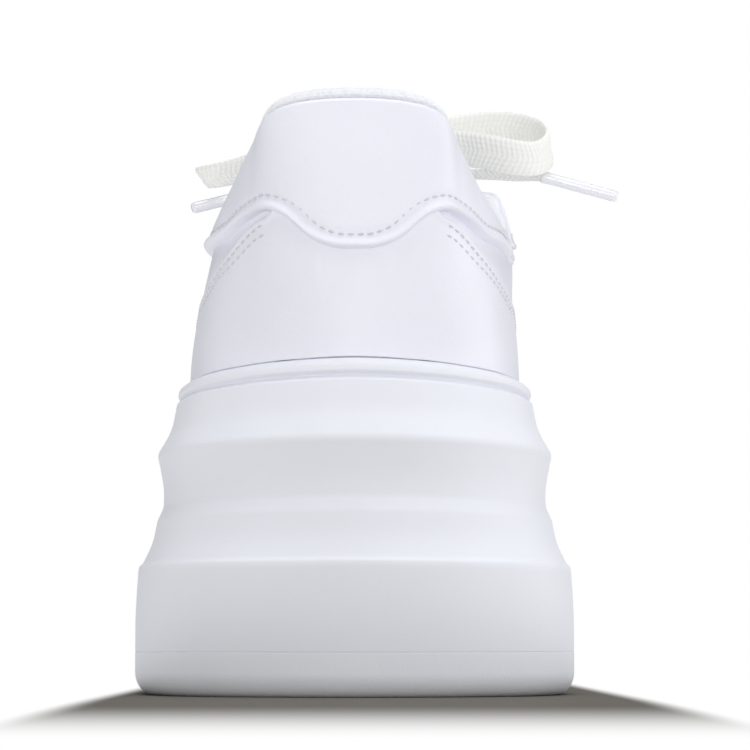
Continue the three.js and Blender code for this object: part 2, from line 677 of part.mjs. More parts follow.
// A leather overlay: the part of a shell round the whole upper that a panel's form holds. The
// shell has the upper's own facets, so it lies on them evenly.
function overlaySolid(places, rows, lowAt, highAt, thickness) {
  const layer = (distance) =>
    UPPER_HEIGHTS.map((height) =>
      columnPlaces().map(({ side, base }) => upperOffset(side, base, height, distance)),
    );
  const shell = ringGeometry([...layer(OVERLAY_GAP + thickness), ...layer(OVERLAY_GAP).reverse()], true);
  const grid = (distance) =>
    Array.from({ length: rows }, (_, row) =>
      places.map(({ side, base }) => {
        const height = lerp(lowAt(side, base), highAt(side, base), row / (rows - 1));
        return upperOffset(side, base, height, distance);
      }),
    );
  return toSolid(shell).intersect(toSolid(panelGeometry(grid(PANEL_REACH), grid(-PANEL_REACH / 2))));
}

// Places from one side's end round the heel, or round the toe, to the other side's end.
function placesRound(end, count, throughToe) {
  const middle = throughToe ? 1 : 0;
  return Array.from({ length: 2 * count + 1 }, (_, i) => {
    const side = i <= count ? -1 : 1;
    const share = Math.abs(i - count) / count;
    return { side, base: lerp(middle, end, share) };
  });
}

const waveAt = (base) => columnAt(WAVE, "at", base);
const counterAt = (base) => Math.min(columnAt(COUNTER, "at", base), waveAt(base) - 0.015);
const overlayFoot = () => OVERLAY_FOOT;
const underEdge = (side, base) => heightBelow(side, base, EDGE_MARGIN);

function collarOverlayGeometry() {
  const places = placesRound(COLLAR_OVERLAY_END, 16, false);
  return fromSolid(overlaySolid(places, 4, (_, base) => waveAt(base), underEdge, COLLAR_OVERLAY));
}

function counterGeometry() {
  const places = placesRound(COUNTER_END, 14, false);
  return fromSolid(overlaySolid(places, 4, overlayFoot, (_, base) => counterAt(base), OVERLAY));
}

function toeGuardGeometry() {
  const places = placesRound(GUARD_START, 10, true);
  const top = (_, base) => columnAt(GUARD, "at", base);
  return fromSolid(overlaySolid(places, 4, overlayFoot, top, OVERLAY));
}

// The eyestay: a strip along both edges of the throat and round its foot, with the lace holes.
function eyestayGeometry() {
  const places = placesRound(COLLAR_OVERLAY_END + 0.012, 14, true);
  const low = (side, base) => heightBelow(side, base, EYESTAY_WIDTH);
  let solid = overlaySolid(places, 3, low, underEdge, OVERLAY);
  for (const hole of eyeletHoles()) solid = solid.subtract(hole);
  return fromSolid(solid);
}

// One cross-section of the tongue, from wing to wing, over and under. Its wings lie under the
// eyestays at that base, and share says how much of the tongue's thickness and crown it has.
function tongueSection(base, share) {
  const under = (side, distance) => {
    const height = heightBelow(side, base, distance);
    return upperOffset(side, base, height, -wallAt(base, height) - TONGUE_CLEARANCE);
  };
  const wings = [TONGUE_WING, TONGUE_WING / 2, 0];
  const outer = wings.map((distance) => under(-1, distance));
  const inner = wings.map((distance) => under(1, distance)).reverse();
  const crown = outer[2].clone().lerp(inner[0], 0.5).addScaledVector(UP, TONGUE_CROWN * share);
  const shoulder = (edge) => edge.clone().lerp(crown, 0.5).addScaledVector(UP, TONGUE_SHOULDER * share);
  const over = [...outer, shoulder(outer[2]), crown, shoulder(inner[0]), ...inner];
  const last = over.length - 1;
  const below = over.map((point, i) => {
    const thin = Math.min(i, last - i) === 0 ? TONGUE_EDGE : 1;
    return point.clone().addScaledVector(UP, -TONGUE_THICKNESS * thin * share);
  });
  return [...over, ...below.reverse()];
}

// The tongue, from its free end over the throat to the part that is tucked under the vamp.
function tongueGeometry() {
  const top = tongueSection(TONGUE_TOP, 1);
  const middle = top[4];
  const slope = vector(0, -Math.cos(TONGUE_SLOPE * degrees), Math.sin(TONGUE_SLOPE * degrees));
  const risen = (rise, narrow) =>
    top.map((point) => {
      const placed = point.clone();
      placed.x = lerp(middle.x, point.x, narrow);
      return placed.addScaledVector(slope, rise / Math.sin(TONGUE_SLOPE * degrees));
    });
  const sections = TONGUE_TIP.map(({ rise, width }) => risen(TONGUE_RISE * rise, width));
  sections.push(top);
  const steps = 6;
  for (let i = 1; i <= steps; i++) {
    sections.push(tongueSection(lerp(TONGUE_TOP, THROAT_FOOT, i / steps), lerp(1, TONGUE_FOOT, i / steps)));
  }
  const foot = sections[sections.length - 1];
  const tuck = vector(0, Math.cos(TUCK_SLOPE * degrees), -Math.sin(TUCK_SLOPE * degrees));
  sections.push(foot.map((point) => point.clone().addScaledVector(tuck, TONGUE_TUCK)));
  return tubeGeometry(sections);
}

// A tube through sections of as many points, closed at both ends by fans.
function tubeGeometry(sections) {
  const count = sections[0].length;
  const centre = (section) =>
    section.reduce((sum, p) => sum.add(p), vector(0, 0, 0)).divideScalar(section.length);
  const points = [...sections.flat(), centre(sections[0]), centre(sections[sections.length - 1])];
  const faces = [];
  for (let r = 0; r < sections.length - 1; r++) {
    for (let i = 0; i < count; i++) {
      const next = (i + 1) % count;
      const [a, b, c, d] = [r * count + i, r * count + next, (r + 1) * count + next, (r + 1) * count + i];
      faces.push(a, b, c, a, c, d);
    }
  }
  const [start, end] = [points.length - 2, points.length - 1];
  const top = (sections.length - 1) * count;
  for (let i = 0; i < count; i++) {
    const next = (i + 1) % count;
    faces.push(start, next, i);
    faces.push(end, top + i, top + next);
  }
  return facingOut(points, faces);
}

// A flat lace through stations, each a point and the direction across the lace.
function laceGeometry(stations, width = LACE_WIDTH, thickness = LACE_THICKNESS) {
  const outline = [[-0.5, -0.5], [-0.5, 0.5], [0.5, 0.5], [0.5, -0.5]];
  const sections = stations.map(({ point, across }, i) => {
    const before = stations[Math.max(0, i - 1)].point;
    const after = stations[Math.min(stations.length - 1, i + 1)].point;
    const heading = after.clone().sub(before).normalize();
    const wide = across.clone().addScaledVector(heading, -across.dot(heading)).normalize();
    const thick = heading.clone().cross(wide);
    return outline.map(([w, t]) =>
      point.clone().addScaledVector(wide, w * width).addScaledVector(thick, t * thickness),
    );
  });
  return tubeGeometry(sections);
}

// The crossings of the lace over the tongue, joined into one lattice above the eyestay.
function laceBarsGeometry() {
  const over = OVERLAY_GAP + OVERLAY + GAP + LACE_THICKNESS / 2;
  const bar = (from, to) => {
    const hold = (side, base, height, distance) => ({
      point: upperOffset(side, base, height, distance),
      facing: upperNormal(side, base, height),
    });
    const start = eyeletAt(from.side, from.pair);
    const end = eyeletAt(to.side, to.pair);
    const edges = [
      hold(from.side, lerp(start.base, end.base, BAR_BEND), 1, over + BAR_LIFT),
      hold(to.side, lerp(end.base, start.base, BAR_BEND), 1, over + BAR_LIFT),
    ];
    const middle = edges[0].point.clone().lerp(edges[1].point, 0.5).addScaledVector(UP, LACE_ARCH);
    const spots = [
      hold(from.side, start.base, start.height, over + BAR_LIFT / 2),
      edges[0],
      { point: middle, facing: UP },
      edges[1],
      hold(to.side, end.base, end.height, over + BAR_LIFT / 2),
    ];
    const curve = new THREE.CatmullRomCurve3(spots.map((spot) => spot.point));
    const stations = spots.map(({ point, facing }, i) => {
      const heading = curve.getTangent(i / (spots.length - 1));
      return { point, across: facing.clone().cross(heading) };
    });
    return toSolid(laceGeometry(stations, BAR_WIDTH));
  };
  const last = EYELET_PAIRS - 1;
  let lattice = bar({ side: -1, pair: last }, { side: 1, pair: last });
  for (let pair = last; pair > 0; pair--) {
    lattice = lattice.add(bar({ side: -1, pair }, { side: 1, pair: pair - 1 }));
    lattice = lattice.add(bar({ side: 1, pair }, { side: -1, pair: pair - 1 }));
  }
  return fromSolid(lattice);
}

// Stations along a route that is measured from the knot.
function routeStations(route) {
  const knot = knotPoint();
  const points = route.map(([right, ahead, up]) => vector(right, ahead, up).add(knot));
  const curve = new THREE.CatmullRomCurve3(points, false, "centripetal");
  const steps = (route.length - 1) * 2;
  return Array.from({ length: steps + 1 }, (_, i) => {
    const share = i / steps;
    const row = Math.min(route.length - 2, Math.floor(share * (route.length - 1)));
    const roll = lerp(route[row][3], route[row + 1][3], share * (route.length - 1) - row) * degrees;
    const heading = curve.getTangent(share);
    const upright = UP.clone().addScaledVector(heading, -UP.dot(heading)).normalize();
    return { point: curve.getPoint(share), across: upright.applyAxisAngle(heading, roll) };
  });
}

function knotPoint() {
  const shift = INSTEP_SHIFT * smoothstep(0.1, 0.5, KNOT.ahead / SOLE_LENGTH);
  return vector(shift - OUTLINE_MIDDLE.x, KNOT.ahead - OUTLINE_MIDDLE.y, KNOT.up);
}

function knotGeometry() {
  const ball = new THREE.SphereGeometry(0.5, 10, 6);
  ball.scale(KNOT.width, KNOT.depth, KNOT.height);
  const { x, y, z } = knotPoint();
  ball.translate(x, y, z);
  ball.deleteAttribute("normal");
  ball.deleteAttribute("uv");
  return mergeVertices(ball, 1e-4);
}

// An aglet carries on from the end of its lace.
function agletGeometry(route, side, slope) {
  const stations = routeStations(route);
  const tip = stations[stations.length - 1].point;
  const heading = vector(side, slope.ahead, slope.up).normalize();
  const tube = new THREE.CylinderGeometry(AGLET_RADIUS, AGLET_RADIUS, AGLET_LENGTH, 10);
  tube.applyQuaternion(new THREE.Quaternion().setFromUnitVectors(vector(0, 1, 0), heading));
  tip.addScaledVector(heading, AGLET_LENGTH / 2 + 3 * GAP);
  tube.translate(tip.x, tip.y, tip.z);
  return tube;
}

const leather = { color: 0xe9eaee, roughness: 0.5, metalness: 0 };
const foam = { color: 0xe4e5e9, roughness: 0.65, metalness: 0 };
const rubber = { color: 0xdfe0e4, roughness: 0.7, metalness: 0 };
const textile = { color: 0xeeeee8, roughness: 0.9, metalness: 0 };
const film = { color: 0xf0f0f4, roughness: 0.3, metalness: 0 };

function piece(name, geometry, finish) {
  const mesh = new THREE.Mesh(geometry, new THREE.MeshStandardMaterial(finish));
  mesh.name = name;
  return mesh;
}

const sneaker = new THREE.Group();
sneaker.add(
  piece("outsole", outsoleGeometry(), rubber),
  piece("midsole", midsoleGeometry(), foam),
  piece("insole", insoleGeometry(), textile),
  piece("upper", upperGeometry(), leather),
  piece("heel_counter", counterGeometry(), leather),
  piece("collar_overlay", collarOverlayGeometry(), leather),
  piece("toe_guard", toeGuardGeometry(), leather),
  piece("eyestay", eyestayGeometry(), leather),
  piece("tongue", tongueGeometry(), leather),
  piece("lace_bars", laceBarsGeometry(), textile),
  piece("lace_knot", knotGeometry(), textile),
  piece("lace_loop_inner", laceGeometry(routeStations(INNER_LOOP)), textile),
  piece("lace_loop_outer", laceGeometry(routeStations(OUTER_LOOP)), textile),
  piece("lace_end_inner", laceGeometry(routeStations(INNER_END)), textile),
  piece("lace_end_outer", laceGeometry(routeStations(OUTER_END)), textile),
  piece("aglet_inner", agletGeometry(INNER_END, 1, INNER_AGLET_SLOPE), film),
  piece("aglet_outer", agletGeometry(OUTER_END, -1, OUTER_AGLET_SLOPE), film),
);

export default sneaker;
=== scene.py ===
"""The looks of a white platform sneaker: grained leather, foam, rubber and flat woven laces.

Lengths are in millimetres until a mesh is made. +Y runs from heel to toe, +X points to the
inner side of the foot and +Z is up. A place round the shoe is u: 0 at the heel, 0 to 1 along
the outer side to the toe, and 1 to 2 back along the inner side.
"""

import math

import bpy
import numpy as np
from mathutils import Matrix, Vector


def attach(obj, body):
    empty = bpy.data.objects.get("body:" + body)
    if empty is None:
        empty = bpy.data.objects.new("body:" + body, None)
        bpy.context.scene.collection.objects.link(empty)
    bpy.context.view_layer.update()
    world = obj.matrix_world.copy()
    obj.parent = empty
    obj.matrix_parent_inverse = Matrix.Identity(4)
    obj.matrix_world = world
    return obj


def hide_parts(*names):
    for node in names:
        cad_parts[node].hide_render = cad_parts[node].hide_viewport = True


MM = 0.001

# Sole, as in the part
SOLE_LENGTH = 278
HEEL_WIDTH = 91
BALL_WIDTH = 103
SOLE_HEEL_HEIGHT = 63
SOLE_TOE_HEIGHT = 41
HEEL_KICK = 3.6
TOE_SPRING = 9
OUTSOLE_THICKNESS = 8.7
EDGE_ROUND = 4.6
SOLE_TAPER = 12
CUP_DEPTH = 7
TREAD_DEPTH = 2.2
TREAD_GROOVE = 4.5
TREAD_PITCH = 17
TREAD_BORDER = 13
TREAD_WAVE = 5

# Upper
UPPER_RISE = 54
COLLAR_HALF_WIDTH = 29
THROAT_HALF_WIDTH = 14
INSTEP_SHIFT = 7
WALL = 2
COLLAR_WALL = 7
COLLAR_ROLL = 2
OVERLAY = 1.2
COLLAR_OVERLAY = 1.6
OVERLAY_GAP = 0.35
GAP = 0.3

# Tongue, insole and laces
TONGUE_WING = 9
TONGUE_THICKNESS = 5
TONGUE_CROWN = 4
TONGUE_RISE = 12
TONGUE_SLOPE = math.radians(38)
TUCK_SLOPE = math.radians(27)
TONGUE_CLEARANCE = 0.7
TONGUE_TUCK = 16
TONGUE_TOP = 0.44
INSOLE_THICKNESS = 4.5
EYELET_PAIRS = 6
EYELET_RADIUS = 2.2
EYELET_SETBACK = 8.5
THROAT_TOP = 0.425
THROAT_FOOT = 0.7
LACE_WIDTH = 8
LACE_THICKNESS = 1.3
BAR_WIDTH = 7
AGLET_RADIUS = 1.4
AGLET_LENGTH = 17
EYESTAY_WIDTH = 17
EYELET_MARGIN_TOP = 0.02
EYELET_MARGIN_FOOT = 0.03

# Where one form gives way to the next, as shares of the sole's length
BALL_BLEND = (0.25, 0.6)
SOLE_DROP = (0.36, 0.7)
INSTEP_BLEND = (0.1, 0.5)
HEEL_KICK_REACH = 0.1
TOE_SPRING_START = 0.7
TOE_SPRING_REACH = 0.3

# The same along the base, from 0 at the heel to 1 at the toe, or up the wall's height
PADDING_END = (0.33, 0.43)
PADDING_RISE = (0.25, 0.85)
SWELL_START = (0.13, 0.18)
SWELL_END = (0.32, 0.39)
SWELL_FOOT = (-0.03, 0.05)  # from the heel counter's edge
SWELL_TOP = (0.8, 1)
UNDER_WAVE_END = (0.05, 0.072)
TAB_THIN_FROM = (0.2, 0.25)

# Details of the sole
EDGE_LEAN = 0.8  # width of the outsole's rounding, as a share of its height
EDGE_STEPS = 12
PARTING = 0.12  # how deep the line between midsole and outsole is
CUP_SETBACK = 0.2  # from the lip's line to the cup's inner wall
LIP_DROP = 0.12
LIP_ROUND = 0.1
ROUND_STEPS = 7
LARGEST_ROUND = 0.48  # of the shorter side of a corner
BORDER_STEPS = 800
GROOVE_STEPS = 97
GROOVE_SPAN = 1.8  # the ball's width over half a groove's reach
WAVE_SPAN = 1.1  # three waves take up this many of the ball's widths
# The insole's edge: inset, and height over its foot or drop under its top
INSOLE_FOOT = [(0.6, 0), (0, 0.6)]
INSOLE_TOP = [(0, 0.9), (0.3, 0.3), (1.0, 0), (2.2, 0.1), (4.0, 0.5), (6.5, 0.8)]

# Details of the leather and its lining
NORMAL_STEPS = (0.004, 0.02)  # in u and in height
HEM_SHARE = 0.15  # of the wall, over which it is taken as straight
FOLD_SPOTS = 24
FOLD_BULGE = 0.45  # of a fold's depth, beside it
FOLD_BULGE_PLACE = 1.7  # in widths of the fold
QUARTER_SWELL = 1.1
LEATHER_THICKNESS = 1.3
LEATHER_ROWS = 90
LINING_BROW = 0.9  # how far the rolled lining stands over the leather's top edge
LINING_BACK = 0.05  # between the leather and the lining
LINING_FOOT = 0.2
THIN_LINING = 0.25  # over the wall, where there is no padding
THIN_ROLL = 0.15
PUFF = 0.5
PUFF_REACH = 0.35

# Details of the panels and their stitches
# Distances of a panel's rows from its edges; between those they lie COARSE_ROWS apart
FINE_ROWS = (0, 0.12, 0.3, 0.55, 0.85, 1.2, 1.6, 2.1, 2.7, 3.4, 4.2)
COARSE_ROWS = 1.1
PANEL_SINK = 0.1  # how deep a panel's edges lie in the leather
PANEL_END_ROUND = 0.9
CUT_SHARP = 35
TAB_SETBACK = 0.55  # from the collar tab's top to the rolled lining
TAB_THINNING = 0.72
TAB_STITCH = 3.0
TAB_EDGE_ROUND = 0.4
TAB_TOP_ROUND = 1.1
STAY_SETBACK = 0.2
STAY_TOP_ROUND = 0.9
PANEL_ROUND = 0.75
PANEL_FOOT_ROUND = 0.15  # at the sole, which hides it
PANEL_BACK = (0.35, 0.25)  # how deep in the leather a panel's back is, and its least thickness
UNDER_WAVE = 0.06  # how far the heel counter runs up behind the wave
UNDER_TAB = 0.03
ROLLED_EDGE = 0.75  # how far the collar overlay's rolled edge stands out of it
RAISED_EDGE = 0.2
SEAM_INSET = 2.0
SEAM_WIDTH = 0.6
SEAM_DEPTH = 0.14
STITCH_GROOVE = 0.3
STITCH_PITCH = 1.95
STITCH_LENGTH = 1.3
STITCH_RADIUS = 0.27
STITCH_SINK = 0.02
STITCH_FOOT = 0.05  # height share under which a row stops
COUNTER_STITCH_START = 0.07
COUNTER_STITCHES = (-1.6, -3.5)  # from the panel's edge
GUARD_STITCHES = (-1.6, -3.4)
STAY_STITCH = 2.4  # from the open edge
STITCH_ENDS = {"tab": 0.02, "counter": 0.012, "guard": 0.012, "stay": 0.008}  # in u

# Details of the tongue and the laces
TONGUE_FOOT = 0.6  # the tongue's thickness at the throat's foot, as a share
TONGUE_SHOULDER = 0.8
TONGUE_END = [(1.0, 0.72), (0.8, 0.82), (0.5, 0.88)]  # shares of its rise and of its width
TONGUE_STEPS = 150
TONGUE_LANES = 61
TONGUE_TIP_ROUND = 11.0
TONGUE_RIM = (4.5, 3.6)  # how far the padding rounds off at the sides and at the tip
TONGUE_HALF = 22
TONGUE_SEAM = (6.5, 1.0, 0.9)  # distance from the tip, width and depth
LACE_STEP = 0.7
LACE_LIFT = OVERLAY_GAP + OVERLAY + LACE_THICKNESS
RIBBON_SIDES = 28
HOLE_DEPTH = 3.4
HOLE_MOUTH = 0.6
HIGH_CROSSING = 1.6
LOW_CROSSING = 0.2
BAR_RISE = 0.7
CROSSING_BENDS = (0.24, 0.76)  # where a crossing leaves one eyestay and goes under the other
CROSSING_HEM = 2.6  # from the open edge to its place on the eyestay
CROSSING_TUCK = 4.0  # and to its place under the other one
BRINK_LIFT = 0.25
BRINK_SINK = 0.6
TUCK_SINK = 1.0
CROSSING_END = 3.6
PIN_REACH = 6
KNOT_STEPS = 90
KNOT_LANES = 21
KNOT_WRAP = 28.0  # millimetres of weave round the knot
KNOT_PINCH = 0.30  # how much thinner the knot is at its ends, as a share
KNOT_LEAN = 0.8
ROLLED_SIZE = (2.3, 2.1)  # width and thickness of the lace in its aglet
ROLLED_REACH = 7
LOOP_TURN = (0.5, 0.13)  # where a loop is pinched and over how much, as shares of it
# Distance from the aglet's start and share of its radius
AGLET_STATIONS = [
    (-0.6, 1.0), (-0.2, 1.12), (0.4, 1.05), (3, 0.96), (8, 1.0), (13, 0.97), (16.2, 1.0),
    (17.0, 0.93), (17.4, 0.7),
]

# Depths of the fine textures, in millimetres, and the lace's weave
GRAIN_DEPTH = 0.045
WAVINESS_DEPTH = 0.35
KNIT_DEPTH = 0.16
WEAVE_DEPTH = 0.06
YARN_DEPTH = 0.08
FILM_DEPTH = 0.12
WEAVE_PITCH = 1.15  # of the lace's chevrons, along the lace
WEAVE_SLANT = 1.3
WEAVE_RIBS = 3.5

# Camera, light and floor
CAMERA_PLACE = (-2.4, -775, 11)
CAMERA_PITCH = 4.6
CAMERA_YAW = -0.35
FOCAL_PIXELS = 3300
FRAME_PIXELS = 750
ROOM_LIGHT = 0.37
WHITE_LIGHT = (1, 1, 1)
COOL_LIGHT = (0.955, 0.965, 1.0)
# Place and target in metres, size, power and colour
LAMPS = [
    ("top", (0.0, -0.15, 1.5), (0, 0, 0.06), 1.0, 11.5, COOL_LIGHT),
    ("key", (0.9, -0.8, 1.0), (0, 0, 0.06), 0.8, 3.0, COOL_LIGHT),
    ("side", (1.2, 0.1, 0.35), (0, 0, 0.06), 0.5, 2.4, WHITE_LIGHT),
    ("fill", (-0.1, -1.5, 0.02), (0, 0, 0.03), 0.7, 11, WHITE_LIGHT),
]
FLOOR_REACH = 12000
FLOOR_FADE = (0.07, 0.27)  # metres from the shoe at which the floor's painted shadow starts and ends fading into white
SIDE_FADE = 30  # how many times sooner it does so beside the shoe

# Resolution
OUTLINE_STEPS = 2400
COLUMNS = 560


def table(columns, rows):
    """A table whose columns are named, as {name: values}."""
    return dict(zip(columns.split(), np.array(rows, float).T))


OUTLINE = table("along out", [
    (0.0, 0.0), (0.01, -0.33), (0.035, -0.62), (0.08, -0.86), (0.145, -0.98), (0.215, -1.0),
    (0.32, -0.975), (0.43, -0.925), (0.53, -0.92), (0.62, -0.95), (0.705, -0.945), (0.785, -0.88),
    (0.862, -0.755), (0.93, -0.54), (0.98, -0.24), (1.0, 0.11), (0.988, 0.42), (0.945, 0.7),
    (0.882, 0.895), (0.8, 1.01), (0.71, 1.045), (0.62, 1.0), (0.53, 0.93), (0.43, 0.89),
    (0.32, 0.93), (0.215, 0.985), (0.145, 0.98), (0.08, 0.86), (0.035, 0.62), (0.01, 0.33),
])

# The midsole's side from the outsole to the lip: shares of the lip's height at the heel and at
# the toe, share of the taper, and how far each corner is rounded, in millimetres.
BANDS = table("heel toe inset soft", [
    (0.26, 0.3, 0.0, 5.0),
    (0.4, 0.43, 0.045, 0.8),
    (0.415, 0.445, 0.065, 0.35),
    (0.424, 0.455, 0.125, 0.5),
    (0.49, 0.52, 0.295, 2.0),
    (0.562, 0.592, 0.37, 0.35),
    (0.605, 0.64, 0.475, 0.6),
    (0.665, 0.69, 0.485, 2.6),
    (0.74, 0.757, 0.41, 1.2),
    (0.775, 0.79, 0.365, 1.0),
    (0.852, 0.86, 0.61, 2.2),
    (0.94, 0.935, 0.7, 0.45),
    (0.951, 0.946, 0.81, 0.3),
    (0.962, 0.958, 0.715, 0.35),
    (0.985, 0.983, 0.74, 0.8),
    (1.0, 1.0, 0.9, 0.7),
])

EDGE = table("base along collar throat rise flare lean low high", [
    (0.0, 0.054, 0.0, 0, 1.004, -6, 4, 0.35, 0.32),
    (0.055, 0.062, 0.53, 0, 0.97, -5, 7, 0.35, 0.32),
    (0.1, 0.085, 0.665, 0, 0.87, -3, 11, 0.35, 0.32),
    (0.15, 0.12, 0.815, 0, 0.74, -2, 12, 0.35, 0.32),
    (0.215, 0.185, 0.965, 0, 0.665, -1, 9, 0.35, 0.33),
    (0.285, 0.262, 1.0, 0, 0.67, 0, 10, 0.35, 0.33),
    (0.352, 0.335, 0.95, 0, 0.77, 2, 17, 0.35, 0.34),
    (0.4, 0.383, 0.84, 0.02, 0.915, 4, 30, 0.35, 0.35),
    (0.435, 0.405, 0.39, 0.47, 0.945, 6, 40, 0.35, 0.36),
    (0.49, 0.46, 0.0, 1.0, 0.93, 7, 48, 0.35, 0.36),
    (0.575, 0.545, 0.0, 0.94, 0.86, 7, 54, 0.34, 0.38),
    (0.67, 0.63, 0.0, 0.86, 0.835, 6, 60, 0.32, 0.42),
    (0.8, 0.685, 0.0, 0.55, 0.79, 3, 67, 0.27, 0.47),
    (1.0, 0.7, 0.0, 0.0, 0.755, 0, 70, 0.22, 0.5),
])

WAVE = table("base at", [
    (0.0, 0.398), (0.018, 0.406), (0.034, 0.45), (0.05, 0.541), (0.068, 0.597), (0.09, 0.626),
    (0.12, 0.654), (0.15, 0.686), (0.19, 0.75), (0.26, 0.79), (0.33, 0.79), (0.368, 0.775),
    (1.0, 0.775),
])
COLLAR_OVERLAY_END = 0.402
COUNTER = table("base at", [
    (0.0, 0.42), (0.03, 0.45), (0.06, 0.565), (0.075, 0.583), (0.09, 0.59), (0.105, 0.583),
    (0.12, 0.565), (0.15, 0.545), (0.19, 0.49), (0.26, 0.4), (0.32, 0.3), (0.365, 0.17),
    (0.385, 0.06), (1.0, 0.06),
])
COUNTER_END = 0.385
GUARD = table("base at", [
    (0.0, 0.3), (0.655, 0.05), (0.675, 0.24), (0.72, 0.33), (0.8, 0.31), (0.9, 0.28), (1.0, 0.27),
])
GUARD_START = 0.655
EYESTAY_START = 0.388

KNOT = {"ahead": 114, "up": 123, "width": 11, "depth": 9, "height": 8}
# right, ahead, up and roll from the knot, as in the part
INNER_LOOP = [
    (6.2, 0.0, 0.4, 6), (12, -1.4, 0.4, 6), (18, -3.6, -0.2, 8), (24, -6.8, -1.4, 10),
    (30, -8.0, -2.8, 8), (35.4, -6.0, -2.6, 2), (38.2, -1.2, 0.2, -8), (36.6, 4.2, 3.8, -14),
    (31.4, 7.8, 6.0, -14), (25, 8.8, 6.4, -12), (18, 7.4, 5.4, -8), (11.5, 5.4, 4.0, -4),
    (6.6, 4.0, 2.8, 0),
]
OUTER_LOOP = [
    (-6.2, 0.0, 0.8, -8), (-12, -1.2, 0.6, -14), (-18, -3.0, -0.6, -26), (-25, -4.8, -3.0, -40),
    (-32, -4.8, -5.2, -48), (-38.0, -3.0, -6.3, -42), (-41.0, 1.0, -6.2, -36),
    (-38.6, 5.8, -4.8, -36), (-32, 9.4, -3.0, -38), (-25, 10.2, -0.2, -28),
    (-18, 8.8, 1.8, -14), (-11.5, 6.6, 2.8, -4), (-6.6, 4.6, 2.8, 0),
]
INNER_END = [
    (6.6, 2.4, -5.1, 86), (13, 2.6, -5.1, 86), (20, 2.4, -5.1, 84), (26, 2.0, -5.2, 82),
    (31.5, 1.6, -5.5, 80), (36.4, 1.0, -5.8, 78),
]
OUTER_END = [
    (-6.6, 3.8, -4.6, -88), (-11.5, 7.6, -4.6, -88), (-16, 10.0, -5.0, -86),
    (-20, 10.2, -5.8, -84), (-23.0, 8.9, -7.1, -82), (-26.2, 8.0, -8.1, -80),
]
INNER_AGLET_HEADING = (1, -0.05, -0.28)
OUTER_AGLET_HEADING = (-1, -0.12, -0.26)

# Soft folds of the leather: places (u, height), depth and width in millimetres.
FOLDS = [
    ([(0.60, 0.20), (0.63, 0.42), (0.68, 0.62), (0.74, 0.80)], 0.55, 5.0),
    ([(0.64, 0.18), (0.67, 0.38), (0.72, 0.58), (0.79, 0.74)], 0.45, 4.0),
    ([(1.40, 0.20), (1.37, 0.42), (1.32, 0.62), (1.26, 0.80)], 0.55, 5.0),
    ([(1.36, 0.18), (1.33, 0.38), (1.28, 0.58), (1.21, 0.74)], 0.45, 4.0),
    ([(0.27, 0.30), (0.33, 0.44), (0.39, 0.62)], 0.5, 7.0),
    ([(1.73, 0.30), (1.67, 0.44), (1.61, 0.62)], 0.5, 7.0),
    ([(1.97, 0.33), (0.03, 0.31)], 0.25, 9.0),
]

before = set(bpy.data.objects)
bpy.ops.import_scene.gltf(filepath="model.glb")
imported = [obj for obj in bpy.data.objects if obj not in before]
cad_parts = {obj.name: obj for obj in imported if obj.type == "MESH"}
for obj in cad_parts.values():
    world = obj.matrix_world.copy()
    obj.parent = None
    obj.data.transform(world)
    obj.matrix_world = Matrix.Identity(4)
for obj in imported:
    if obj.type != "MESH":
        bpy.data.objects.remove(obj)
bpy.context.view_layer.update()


# ---- numbers and curves

UP = np.array([0, 0, 1.0])


def lerp(a, b, share):
    return a + (b - a) * share


def smoothstep(low, high, at):
    share = np.clip((at - low) / (high - low), 0, 1)
    return share * share * (3 - 2 * share)


def bell(at, centre, width):
    return np.exp(-(((at - centre) / width) ** 2))


def edge_round(distance, radius):
    """0 at an edge and 1 from a radius inwards, along a quarter circle."""
    share = np.clip(distance / radius, 0, 1)
    return np.sqrt(1 - (1 - share) ** 2)


def unit(v):
    return v / np.maximum(np.linalg.norm(v, axis=-1, keepdims=True), 1e-12)


def run_of(points):
    """How far along a line of points each one lies."""
    return np.concatenate([[0], np.cumsum(np.linalg.norm(np.diff(points, axis=0), axis=1))])


def circle(count):
    """The cosines and the sines of evenly spaced angles, as columns."""
    angle = np.arange(count) * 2 * math.pi / count
    return np.cos(angle)[:, None], np.sin(angle)[:, None]


def column(rows, name, place, odd=False):
    """The smooth value of a table's column, mirrored at the heel and at the toe."""
    sign = -1 if odd else 1
    x, y = rows["base"], rows[name]
    x = np.concatenate([[2 * x[0] - x[1]], x, [2 * x[-1] - x[-2]]])
    y = np.concatenate([[sign * y[1]], y, [sign * y[-2]]])
    span = np.diff(x)
    slope = np.diff(y) / span
    tangent = (slope[:-1] * span[1:] + slope[1:] * span[:-1]) / (span[:-1] + span[1:])
    x, y, span = x[1:-1], y[1:-1], span[1:-1]
    i = np.clip(np.searchsorted(x, place, side="right") - 1, 0, len(span) - 1)
    t = np.clip((place - x[i]) / span[i], 0, 1)
    return (
        y[i] * (1 + 2 * t) * (1 - t) ** 2
        + tangent[i] * span[i] * t * (1 - t) ** 2
        + y[i + 1] * t * t * (3 - 2 * t)
        - tangent[i + 1] * span[i] * t * t * (1 - t)
    )


def catmull_weights(t):
    return [
        (-t + 2 * t**2 - t**3) / 2,
        (2 - 5 * t**2 + 3 * t**3) / 2,
        (t + 4 * t**2 - 3 * t**3) / 2,
        (t**3 - t**2) / 2,
    ]


def smooth_line(points, steps):
    """A smooth curve through points that are placed about evenly."""
    points = np.asarray(points, float)
    padded = np.vstack([2 * points[0] - points[1], points, 2 * points[-1] - points[-2]])
    place = np.linspace(0, len(points) - 1, steps)
    i = np.minimum(place.astype(int), len(points) - 2)
    weights = catmull_weights(place - i)
    return sum(w[:, None] * padded[i + k] for k, w in enumerate(weights))


